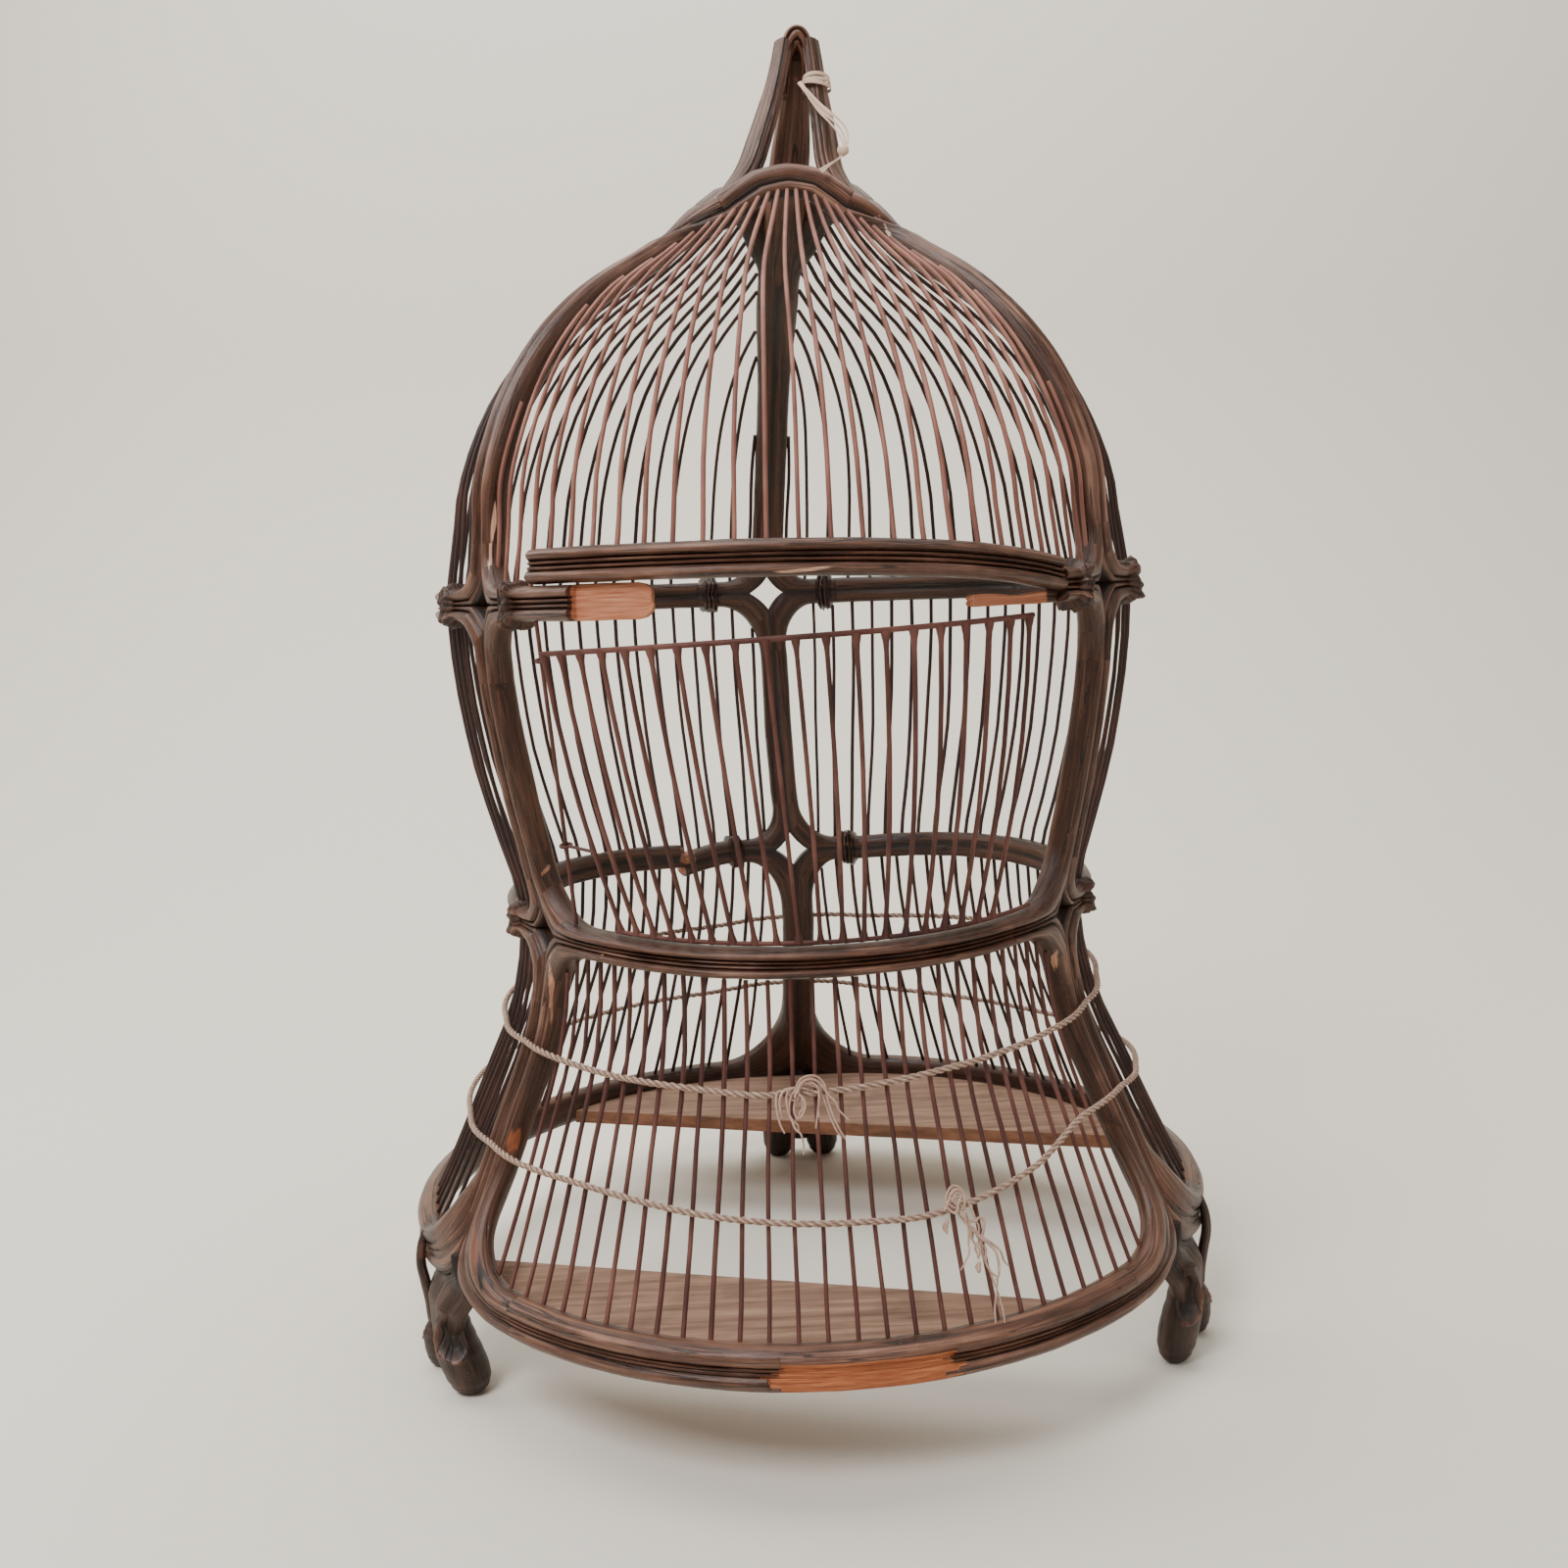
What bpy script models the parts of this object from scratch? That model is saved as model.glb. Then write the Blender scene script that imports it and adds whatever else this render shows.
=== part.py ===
"""Carved wooden birdcage with three ribs, wire grilles and a wire door.

Metres, +Z up, front towards -Y, origin on the floor under the middle of the base.
"""
import bpy
import bmesh
import math
from mathutils import Vector, Matrix
from mathutils.bvhtree import BVHTree

# Levels and radii of the carved frame, at the middle of a rib
rim_height = 0.071
rim_radius = 0.242
waist_height = 0.2665
waist_radius = 0.1714
shoulder_height = 0.4595
shoulder_radius = 0.1977
crown_height = 0.6600
crown_radius = 0.086
arch_height = 0.7020
arch_reach = 0.036
handle_top = 0.800
handle_lean = 0.0165
lean_start_drop = 0.0400

# Carved sections
rib_half_depth = 0.0085
skirt_half_width = 0.0120
barrel_half_width = 0.0100
dome_half_width = 0.0115
crown_half_width = 0.0095
ring_half_height = 0.0095
waist_half_height = 0.0085
rim_half_height = 0.0110
rim_half_depth = 0.0090
arch_half_height = 0.0105
arch_half_depth = 0.0065
diamond_half = 0.0125
collar_start = 0.0370
collar_length = 0.0110
collar_rise = 0.0024
stub_length = 0.0520
upper_fillet_width = 0.0320
upper_fillet_height = 0.0340
lower_fillet_width = 0.0350
lower_fillet_height = 0.0440
front_fillet_width = 0.0500
foot_split_height = 0.0800
foot_spread = 0.0600
notch_height = 0.0120

# Broken upper front rail and the parted waist rail
loose_lift_left = 0.0196
loose_lift_right = 0.0062
lap_gap_drop = 0.0065
lap_step = 0.0006
left_waist_rise = 0.0040
right_waist_rise = 0.0060
front_waist_sag = 0.0025
right_lap_height = 0.0058

# Handle
leg_foot_half_width = 0.0075
leg_half_width = 0.0112
leg_top_half_width = 0.0066
leg_half_thickness = 0.0058
leg_top_half_thickness = 0.0045
leg_root = 0.0120
crest_width = 0.0285
crest_depth = 0.0270
crest_height = 0.0190
nail_radius = 0.0016
nail_length = 0.0020
nail_drop = 0.0260

# Feet and floor
foot_height = 0.0612
foot_half_width = 0.0320
foot_half_depth = 0.0137
board_bottom = 0.0600
board_thickness = 0.0100
corner_room = 0.0015
front_board_width = 0.0960
rear_board_width = 0.1240

# Wires and the door
wire_radius = 0.00115
dome_wire_room = 0.0012
wire_seat = 0.0030
door_top_radius = 0.0015
hinge_rod_radius = 0.0012
eye_radius = 0.0030
eye_wire_radius = 0.0010
door_top_drop_left = 0.0268
door_top_drop_right = 0.0154
door_bottom_gap = 0.0012
lower_eye_rise = 0.0575
upper_eye_drop = 0.0305

# Twine
twine_radius = 0.0019
twine_slack = 0.0014
twine_rib_slack = 0.0006
knot_radius = 0.0065
tie_radius = 0.0011
tie_half_width = 0.0101
tie_half_depth = 0.0075
tie_drop = 0.0350
tie_pitch = -0.0040

gap = 0.0003
weld = 0.00001

# Route of the tie's loose strand across the leg to its knot and its tail: x, y and the drop from the top
tie_route = ((0.0165, -0.0205, 0.0380), (0.0206, -0.0240, 0.0447), (0.0279, -0.0260, 0.0547),
             (0.0352, -0.0290, 0.0626), (0.0398, -0.0310, 0.0689), (0.0420, -0.0330, 0.0758),
             (0.0404, -0.0350, 0.0815), (0.0378, -0.0375, 0.0865), (0.0303, -0.0430, 0.0923),
             (0.0262, -0.0465, 0.0960))

# Angles in degrees and counts
rib_azimuths = (90.0, 210.0, 330.0)
rib_names = ("back", "front_left", "front_right")
side_names = ("left", "front", "right")
board_turn = 15.0
door_left = 229.3
door_right = 304.8
door_foot_left = 234.7
door_foot_right = 315.0
rod_top_azimuth = 228.0
rod_foot_azimuth = 221.5
left_stub_end = 237.1
left_lap_end = 249.8
right_stub_end = 311.9
right_lap_end = 294.3
loose_left = 228.2
loose_right = 311.5
waist_lap_azimuth = 118.0
dome_wires = 27
barrel_wires = 27
skirt_wires = 29
door_wires = 20
wire_sides = 3
barrel_wire_turn = 53.3
skirt_wire_turn = 49.5
skirt_top_turn = 53.0
dome_spread_share = 1.3
dome_spread_power = 5.0
carrier_margin = 1.0
door_overrun_share = 0.012
dome_overrun_share = 0.25
dome_rings = 8
barrel_rings = 4
skirt_rings = 5
twine_points = 80
upper_knot_azimuth = 271.0
lower_knot_azimuth = 287.5
tie_turn_start = -165.0
tie_turn_sweep = 325.0
tie_turn_points = 11
fine_points = 400
foot_sides = 20
sharp_angle = 50.0
arch_face_angle = 24.0
twine_rib_turn = 4.0
twine_ease_turn = 16.0

# Profile of a rib from the rim to the waist, the shoulder and the crown: shares of each rise
skirt_shares = ((0.0, 0.0), (0.17, 0.23), (0.45, 0.58), (0.71, 0.88), (1.0, 1.0))
barrel_shares = ((0.21, 0.24), (0.45, 0.60), (0.74, 0.93), (1.0, 1.0))
dome_shares = ((0.21, 0.02), (0.37, 0.05), (0.57, 0.19), (0.735, 0.39), (0.875, 0.65), (1.0, 1.0))
# On up the handle: share of the rise from the crown to the top, share of the crown's radius
handle_shares = ((0.12, 0.74), (0.24, 0.51), (0.37, 0.345), (0.52, 0.265), (0.73, 0.175), (0.93, 0.105))
# How far a side bows out between two ribs, as a share of the radius, against the profile's knots
bow_shares = (0.039, 0.04, 0.045, 0.05, 0.06, 0.09, 0.11, 0.108, 0.115, 0.08, 0.062, 0.055, 0.05, 0.04, 0.03,
              0.0, 0.0, 0.0, 0.0, 0.0, 0.0)
# The back rib stands a little askew: degrees against the same knots
back_rib_skew = (0.0, 0.0, -0.5, -1.0, 0.0, 1.4, 2.0, 2.2, 3.4, 2.6, 2.0, 1.2, 0.6, 0.0, 0.0,
                 0.0, 0.0, 0.0, 0.0, 0.0, 0.0)
# A lobe of a carved section: share of its width, share of its half depth
lobe_shares = ((0.30, 0.98), (0.80, 0.84), (1.0, 0.0), (0.80, -0.84), (0.30, -0.98))
groove_share = 0.70
# The same on a rail or rim of two reeds: its middle groove, the lips beside it and the reeds' tops
rail_groove_share = 0.84
rail_lip_share = 0.20
rail_reed_shares = (0.5, 0.74)
diamond_round_share = 0.45
arch_flare_share = 0.12
knot_lift_share = 0.35
knot_depth_share = 0.62
foot_bulge_share = 1.06
# A foot from its sole up: shares of the height, the half width, the half depth and the lean
foot_shares = ((0.0, 0.66, 0.60, 0.7), (0.05, 0.80, 0.90, 0.9), (0.20, 0.90, foot_bulge_share, 1.0),
               (0.38, 0.93, 1.0, 1.0), (0.52, 0.90, 0.85, 0.8), (0.66, 0.93, 0.72, 0.5),
               (0.80, 0.97, 0.64, 0.2), (0.92, 1.0, 0.60, 0.1), (1.0, 1.0, 0.56, 0.0))
# The cleft between a foot's two scrolls against the same heights, as a share of the half depth
foot_cleft_shares = (0.45, 0.42, 0.40, 0.40, 0.35, 0.25, 0.15, 0.05, 0.0)
# The twine's height above the floor against the azimuth
upper_twine_table = ((214.0, 0.199), (249.0, 0.197), (264.0, 0.195), (298.0, 0.202), (316.0, 0.205),
                     (350.0, 0.214), (395.0, 0.214), (450.0, 0.207), (520.0, 0.203), (574.0, 0.199))
lower_twine_table = ((219.0, 0.141), (236.0, 0.142), (260.0, 0.136), (275.0, 0.134), (286.0, 0.134),
                     (302.0, 0.1435), (317.0, 0.158), (350.0, 0.154), (392.0, 0.142), (418.0, 0.142),
                     (445.0, 0.147), (520.0, 0.144), (579.0, 0.141))

object_collection = bpy.data.collections.new("birdcage")
cutter_collection = bpy.data.collections.new("cutters")
for old in list(bpy.data.objects):
    bpy.data.objects.remove(old, do_unlink=True)
bpy.context.scene.collection.children.link(object_collection)
bpy.context.scene.collection.children.link(cutter_collection)


def make_material(name, colour, roughness, metallic=0.0):
    material = bpy.data.materials.new(name)
    material.use_nodes = True
    shader = material.node_tree.nodes["Principled BSDF"]
    shader.inputs["Base Color"].default_value = (*colour, 1.0)
    shader.inputs["Roughness"].default_value = roughness
    shader.inputs["Metallic"].default_value = metallic
    return material


dark_wood = make_material("dark_carved_wood", (0.045, 0.028, 0.020), 0.55)
board_wood = make_material("bare_board_wood", (0.30, 0.20, 0.13), 0.75)
rusty_wire = make_material("rusty_iron_wire", (0.20, 0.075, 0.05), 0.7, 0.4)
hemp_twine = make_material("hemp_twine", (0.45, 0.33, 0.22), 0.9)
raffia = make_material("raffia_tie", (0.75, 0.55, 0.40), 0.8)


def spline_point(knots, position):
    """Catmull-Rom curve through the knots; position counts knots."""
    last = len(knots) - 1
    index = min(int(position), last - 1)
    t = position - index
    p1, p2 = knots[index], knots[index + 1]
    p0 = knots[index - 1] if index > 0 else p1 + (p1 - p2)
    p3 = knots[index + 2] if index + 2 <= last else p2 + (p2 - p1)
    return 0.5 * ((2 * p1) + (p2 - p0) * t + (2 * p0 - 5 * p1 + 4 * p2 - p3) * t * t
                  + (3 * p1 - p0 - 3 * p2 + p3) * t * t * t)


def smooth_step(t):
    t = max(0.0, min(1.0, t))
    return t * t * (3.0 - 2.0 * t)


def blend(a, b, t):
    return a + (b - a) * t


def profile_knots():
    knots = []
    for height_share, radius_share in skirt_shares:
        knots.append(Vector((blend(rim_radius, waist_radius, radius_share),
                             blend(rim_height, waist_height, height_share))))
    for height_share, radius_share in barrel_shares:
        knots.append(Vector((blend(waist_radius, shoulder_radius, radius_share),
                             blend(waist_height, shoulder_height, height_share))))
    for height_share, radius_share in dome_shares:
        knots.append(Vector((blend(shoulder_radius, crown_radius, radius_share),
                             blend(shoulder_height, crown_height, height_share))))
    for height_share, radius_share in handle_shares:
        knots.append(Vector((crown_radius * radius_share,
                             blend(crown_height, handle_top, height_share))))
    return knots


class Profile:
    """The line that the ribs follow, read by its length from the rim's middle."""

    def __init__(self, steps_between_knots=12):
        knots = profile_knots()
        self.points = []
        self.knot_positions = []
        for step in range((len(knots) - 1) * steps_between_knots + 1):
            position = step / steps_between_knots
            self.points.append(spline_point(knots, position))
            self.knot_positions.append(position)
        self.lengths = [0.0]
        for before, after in zip(self.points, self.points[1:]):
            self.lengths.append(self.lengths[-1] + (after - before).length)

    def find(self, length):
        if length <= 0.0:
            return 0, 0.0
        for index in range(len(self.lengths) - 1):
            if length <= self.lengths[index + 1]:
                span = self.lengths[index + 1] - self.lengths[index]
                return index, (length - self.lengths[index]) / span
        return len(self.lengths) - 2, 1.0

    def point(self, length):
        index, t = self.find(length)
        return self.points[index].lerp(self.points[index + 1], t)

    def normal(self, length):
        index, t = self.find(length)
        low = max(index - 1, 0)
        high = min(index + 2, len(self.points) - 1)
        direction = (self.points[high] - self.points[low]).normalized()
        return Vector((direction.y, -direction.x))

    def knot_value(self, table, length):
        index, t = self.find(length)
        position = blend(self.knot_positions[index], self.knot_positions[index + 1], t)
        low = min(int(position), len(table) - 2)
        return blend(table[low], table[low + 1], position - low)

    def length_at(self, height):
        for index in range(len(self.points) - 1):
            low, high = self.points[index].y, self.points[index + 1].y
            if low <= height <= high:
                return blend(self.lengths[index], self.lengths[index + 1], (height - low) / (high - low))
        return self.lengths[-1] if height > self.points[-1].y else 0.0


profile = Profile()
waist_level = profile.length_at(waist_height)
shoulder_level = profile.length_at(shoulder_height)
crown_level = profile.length_at(crown_height)


def lean_at(height):
    start = crown_height - lean_start_drop
    return handle_lean * smooth_step((height - start) / (handle_top - start))


def bow_factor(azimuth, level):
    turn = (azimuth - 30.0) % 120.0
    if turn > 60.0:
        turn -= 120.0
    share = turn / 60.0
    return 1.0 + profile.knot_value(bow_shares, level) * (1.0 - share * share)


def place(azimuth, level, depth=0.0, upright=0.0):
    """A point on the cage's surface, moved outward by depth; upright 1 stands it on the rim."""
    radius, height = profile.point(level)
    if level < 0.0:
        height = rim_height + level
    out_radius, out_height = profile.normal(level)
    bow = bow_factor(azimuth, level)
    angle = math.radians(azimuth)
    flat = radius * bow + out_radius * depth
    rise = height + out_height * depth
    if upright:
        flat = blend(flat, rim_radius * bow_factor(azimuth, 0.0) + depth, upright)
        rise = blend(rise, rim_height + level, upright)
    return Vector((flat * math.cos(angle) + lean_at(rise), flat * math.sin(angle), rise))


def rib_azimuth(rib, level):
    skew = profile.knot_value(back_rib_skew, level) if rib == 0 else 0.0
    return rib_azimuths[rib] + skew


def rib_place(rib, across, level, depth=0.0, upright=0.0):
    """A point beside a rib's middle line: across is measured along the surface."""
    radius = profile.point(level).x
    azimuth = rib_azimuth(rib, level) + math.degrees(across / radius)
    return place(azimuth, level, depth, upright)


class Skin:
    """Collects lofted patches whose end rings match, and welds them into one closed body."""

    def __init__(self):
        self.mesh = bmesh.new()

    def loft(self, rings, cap_start=False, cap_end=False):
        rows = [[self.mesh.verts.new(point) for point in ring] for ring in rings]
        for before, after in zip(rows, rows[1:]):
            count = len(before)
            for index in range(count):
                following = (index + 1) % count
                self.mesh.faces.new((before[index], before[following], after[following], after[index]))
        if cap_start:
            self.mesh.faces.new(rows[0])
        if cap_end:
            self.mesh.faces.new(rows[-1])

    def finish(self, name, material, collection=object_collection):
        bmesh.ops.remove_doubles(self.mesh, verts=self.mesh.verts, dist=weld)
        bmesh.ops.recalc_face_normals(self.mesh, faces=self.mesh.faces)
        return add_mesh(self.mesh, name, material, collection)


def add_mesh(mesh, name, material, collection=object_collection):
    data = bpy.data.meshes.new(name)
    mesh.to_mesh(data)
    mesh.free()
    data.shade_smooth()
    data.set_sharp_from_angle(angle=math.radians(sharp_angle))
    data.materials.append(material)
    item = bpy.data.objects.new(name, data)
    collection.objects.link(item)
    if collection is cutter_collection:
        item.hide_render = True
        item.display_type = "WIRE"
    return item


def lobe(inner, outer, half_depth, where, groove=groove_share, bulge=0.0, morph=0.0):
    """One lobe of a section, from the front groove round to the back groove and its inner side.

    inner and outer are pairs (across, level); where(across, level, depth) places them.
    morph turns the lobe into a whole two-reeded rail section with a groove of its own.
    """
    points = []
    inner_front = blend(groove, rail_groove_share, morph)
    points.append(where(*pair_blend(inner, outer, rail_lip_share * morph), half_depth * inner_front))
    for index, (width_share, depth_share) in enumerate(lobe_shares):
        if index in (0, 4):
            width_share = blend(width_share, rail_reed_shares[0], morph)
            depth_share = blend(depth_share, math.copysign(rail_reed_shares[1], depth_share), morph)
        points.append(where(*pair_blend(inner, outer, width_share), half_depth * depth_share))
    points.append(where(*pair_blend(inner, outer, rail_lip_share * morph), -half_depth * inner_front))
    points.append(where(*pair_blend(inner, outer, -bulge), 0.0))
    return points


def pair_blend(first, second, t):
    return blend(first[0], second[0], t), blend(first[1], second[1], t)


def joined_ring(first, second):
    """Two lobes that share their groove points make one closed ring of twelve points."""
    return first[0:7] + second[5:0:-1]


def fillet_point(theta, half_width, half_height, width, height):
    """The outer edge of a junction strand, from beside the stem (0) to above the rail (90)."""
    angle = math.radians(theta)
    return (width - (width - half_width) * math.cos(angle),
            height - (height - half_height) * math.sin(angle))


def diamond_point(theta, part_angle, width, height):
    """The inner edge: down the stem's groove, along the diamond, out along the rail's groove."""
    if theta <= part_angle:
        return 0.0, blend(height, diamond_half, theta / part_angle)
    if theta >= 90.0 - part_angle:
        share = (theta - (90.0 - part_angle)) / part_angle
        return blend(diamond_half, width, share), 0.0
    share = (theta - part_angle) / (90.0 - 2.0 * part_angle)
    angle = math.radians(90.0 * share)
    arc = (diamond_half * (1.0 - math.cos(angle)), diamond_half * (1.0 - math.sin(angle)))
    line = (diamond_half * share, diamond_half * (1.0 - share))
    return pair_blend(line, arc, diamond_round_share)


part_angle = 28.0
stem_thetas = (0.0, 14.0, 28.0)
free_thetas = (28.0, 37.0, 45.0, 53.0, 62.0)
rail_thetas = (62.0, 76.0, 90.0)


def strand_lobe(rib, level, side, up, theta, half_width, half_height, size):
    """The lobe of one of the four strands that flow from a stem into a rail."""
    width, height = size
    outer = fillet_point(theta, half_width, half_height, width, height)
    inner = diamond_point(theta, part_angle, width, height)
    free = part_angle < theta < 90.0 - part_angle

    def where(across, along, depth):
        return rib_place(rib, side * across, level + up * along, depth)

    return lobe(inner, outer, rib_half_depth, where, bulge=0.10 if free else 0.0)


def junction(skin, rib, level, half_height, upper_width, lower_width, sizes, stubs):
    """A four-way whiplash junction with its diamond opening.

    sizes[(side, up)] gives the fillet of each strand; stubs[side] lists the stub's stations
    as (azimuth or None, across, swell, drop, front share).
    """
    lobes = {}
    for side in (-1, 1):
        for up in (-1, 1):
            half_width = upper_width if up > 0 else lower_width
            for theta in sorted(set(stem_thetas + free_thetas + rail_thetas)):
                lobes[side, up, theta] = strand_lobe(rib, level, side, up, theta, half_width,
                                                     half_height, sizes[side, up])
            skin.loft([lobes[side, up, theta] for theta in free_thetas])
    for up in (-1, 1):
        skin.loft([joined_ring(lobes[-1, up, theta], lobes[1, up, theta]) for theta in stem_thetas])
    for side in (-1, 1):
        rings = [joined_ring(lobes[side, 1, theta], lobes[side, -1, theta]) for theta in rail_thetas]
        rings += [stub_ring(rib, side, level, half_height, *station) for station in stubs[side]]
        skin.loft(rings, cap_end=True)
    return {up: joined_ring(lobes[-1, up, 0.0], lobes[1, up, 0.0]) for up in (-1, 1)}


def stub_ring(rib, side, level, half_height, across, swell, drop, front, height_share=1.0):
    """A ring of a rail's stub: swell thickens it, front 0 cuts it back to its inner half."""
    reach = half_height + swell

    def where(along, rise, depth):
        if depth > 0.0:
            depth = depth * front
        rise = (rise + reach) * height_share - reach
        return rib_place(rib, side * along, level + rise - drop, depth)

    top = lobe((across, 0.0), (across, reach), rib_half_depth + swell, where)
    bottom = lobe((across, 0.0), (across, -reach), rib_half_depth + swell, where)
    return joined_ring(top, bottom)


def collar_stations():
    middle = collar_start + collar_length / 2.0
    quarter = collar_length / 4.0
    return [(collar_start, 0.0, 0.0, 1.0), (middle - quarter, collar_rise, 0.0, 1.0),
            (middle + quarter, collar_rise, 0.0, 1.0), (collar_start + collar_length, 0.0, 0.0, 1.0)]


def across_at(rib, level, azimuth):
    """The distance along the surface from a rib's middle to an azimuth."""
    turn = abs((azimuth - rib_azimuth(rib, level) + 180.0) % 360.0 - 180.0)
    return math.radians(turn) * profile.point(level).x


def stem_ring(rib, level, half_width, upright=0.0):
    def where(across, along, depth):
        return rib_place(rib, across, along, depth, upright)

    left = lobe((0.0, level), (-half_width, level), rib_half_depth, where)
    right = lobe((0.0, level), (half_width, level), rib_half_depth, where)
    return joined_ring(left, right)


def hermite(start, start_slope, end, end_slope, t):
    a = 2 * t ** 3 - 3 * t ** 2 + 1
    b = t ** 3 - 2 * t ** 2 + t
    c = -2 * t ** 3 + 3 * t ** 2
    d = t ** 3 - t ** 2
    return start * a + start_slope * b + end * c + end_slope * d


# The three arches under the handle, each along one side of a small triangle
arch_knots_shares = ((0.0, 0.0), (0.47, 0.085), (0.86, 0.33), (1.0, 0.44))
arch_half_length = 0.0370
arch_drop = 0.0400


def arch_drop_at(share):
    knots = [Vector(pair) for pair in arch_knots_shares]
    share = abs(share)
    for low, high in zip(knots, knots[1:]):
        if share <= high.x:
            t = (share - low.x) / (high.x - low.x)
            return arch_drop * blend(low.y, high.y, t * (0.6 + 0.4 * t) if low.x == 0.0 else t)
    return arch_drop * knots[-1].y


def arch_frame(side_azimuth, share):
    """Middle point, direction along the arch, direction to its underside and outward normal."""
    angle = math.radians(side_azimuth)
    outward = Vector((math.cos(angle), math.sin(angle), 0.0))
    along = Vector((-math.sin(angle), math.cos(angle), 0.0))

    def middle(s):
        height = arch_height - arch_drop_at(s)
        point = outward * (arch_reach + arch_flare_share * arch_drop_at(s)) + along * (s * arch_half_length)
        point.z = height
        point.x += lean_at(height)
        return point

    step = 0.05
    tangent = (middle(share + step) - middle(share - step)).normalized()
    face_angle = math.radians(arch_face_angle)
    normal = outward * math.cos(face_angle) + Vector((0.0, 0.0, math.sin(face_angle)))
    down = tangent.cross(normal).normalized()
    if down.z > 0.0:
        down = -down
    normal = down.cross(tangent).normalized()
    if normal.dot(outward) < 0.0:
        normal = -normal
    return middle(share), tangent, down, normal


def arch_ring(side_azimuth, share):
    middle, tangent, down, normal = arch_frame(side_azimuth, share)

    def where(across, along, depth):
        return middle + down * across + normal * depth

    return lobe((-arch_half_height, 0.0), (arch_half_height, 0.0), arch_half_depth, where,
                bulge=0.0, morph=0.75)


def crown_strand(skin, rib, side):
    """A strand from the rib's parting into the stub that carries an arch."""
    level = crown_level

    def where(across, along, depth):
        return rib_place(rib, side * across, along, depth)

    start = lobe((0.0, level), (crown_half_width, level), rib_half_depth, where)
    side_azimuth = rib_azimuths[rib] + side * 60.0
    end = arch_ring(side_azimuth, -side)
    start_slope = (rib_place(rib, 0.0, level) - rib_place(rib, 0.0, level - stub_length)).normalized()
    end_slope = arch_frame(side_azimuth, -side)[1] * side
    reach = (end[0] - start[0]).length
    rings = []
    for t in (0.0, 0.25, 0.5, 0.75, 1.0):
        rings.append([hermite(a, start_slope * reach, b, end_slope * reach, t) for a, b in zip(start, end)])
    skin.loft(rings, cap_end=True)


foot_thetas = (0.0, 15.0, 30.0, 45.0, 60.0, 75.0, 90.0)


def rim_strand(skin, rib, side):
    """A strand that leaves the rib's foot and turns into the base rim."""
    rings = []
    for theta in foot_thetas:
        share = theta / 90.0
        outer = fillet_point(theta, skirt_half_width, rim_half_height, foot_spread, foot_split_height)
        angle = math.radians(theta)
        inner = (foot_spread * (1.0 - math.cos(angle)) ** 1.15,
                 blend(-rim_half_height, notch_height, (1.0 - math.sin(angle)) ** 1.1))
        turn = smooth_step(share)

        def where(across, along, depth):
            return rib_place(rib, side * across, along, depth, turn)

        depth = blend(rib_half_depth, rim_half_depth, turn)
        rings.append(lobe(inner, outer, depth, where, morph=turn))
    rings.append(rim_end_ring(rib, side))
    skin.loft(rings, cap_end=True)


def rim_end_ring(rib, side):
    across = foot_spread + collar_length
    azimuth = rib_azimuths[rib] + side * math.degrees(across / rim_radius)
    return rim_ring(azimuth)


def rim_ring(azimuth):
    def where(across, along, depth):
        return place(azimuth, along, depth, 1.0)

    return lobe((0.0, -rim_half_height), (0.0, rim_half_height), rim_half_depth, where, morph=1.0)


def evenly(start, end, count):
    return [blend(start, end, index / (count - 1)) for index in range(count)]


def half_width_at(level):
    table = ((0.0, skirt_half_width), (waist_level * 0.75, skirt_half_width),
             (waist_level, barrel_half_width), (shoulder_level, barrel_half_width),
             (shoulder_level + upper_fillet_height, dome_half_width),
             (crown_level * 0.90, dome_half_width), (crown_level, crown_half_width))
    for (low, low_width), (high, high_width) in zip(table, table[1:]):
        if level <= high:
            return blend(low_width, high_width, (level - low) / (high - low))
    return crown_half_width


def shoulder_stubs(rib):
    """Stub stations on each side of the upper junction; the front ones end in broken laps."""
    plain = collar_stations() + [(stub_length, 0.0, 0.0, 1.0)]
    stubs = {-1: list(plain), 1: list(plain)}
    if rib == 1:
        end = across_at(rib, shoulder_level, left_stub_end)
        tip = across_at(rib, shoulder_level, left_lap_end)
        stubs[1] = collar_stations() + [
            (blend(collar_start, end, 0.6), 0.0, 0.0, 1.0), (end, 0.0, 0.0, 1.0),
            (end + lap_step, 0.0, 0.0, 0.05), (blend(end, tip, 0.5), 0.0, 0.0, 0.05),
            (tip, 0.0, 0.0, 0.02)]
    if rib == 2:
        end = across_at(rib, shoulder_level, right_stub_end)
        tip = across_at(rib, shoulder_level, right_lap_end)
        low_share = right_lap_height / (2.0 * ring_half_height)
        stubs[-1] = collar_stations() + [
            (end, 0.0, 0.0, 1.0), (end + lap_step, 0.0, 0.0, 0.05, low_share),
            (blend(end, tip, 0.5), 0.0, 0.0, 0.05, low_share), (tip, 0.0, 0.0, 0.02, low_share)]
    return stubs


def waist_stubs(rib):
    plain = collar_stations() + [(stub_length, 0.0, 0.0, 1.0)]
    smooth = [(stub_length + collar_length, 0.0, 0.0, 1.0)]
    stubs = {-1: list(plain), 1: list(plain)}
    if rib == 1:
        stubs[1] = smooth
    if rib == 2:
        stubs[-1] = list(smooth)
    if rib == 0:
        end = across_at(rib, waist_level, waist_lap_azimuth)
        stubs[1] = collar_stations() + [
            (blend(collar_start, end, 0.75), 0.0, lap_gap_drop * 0.6, 1.0), (end, 0.0, lap_gap_drop, 1.0)]
    return stubs


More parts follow.
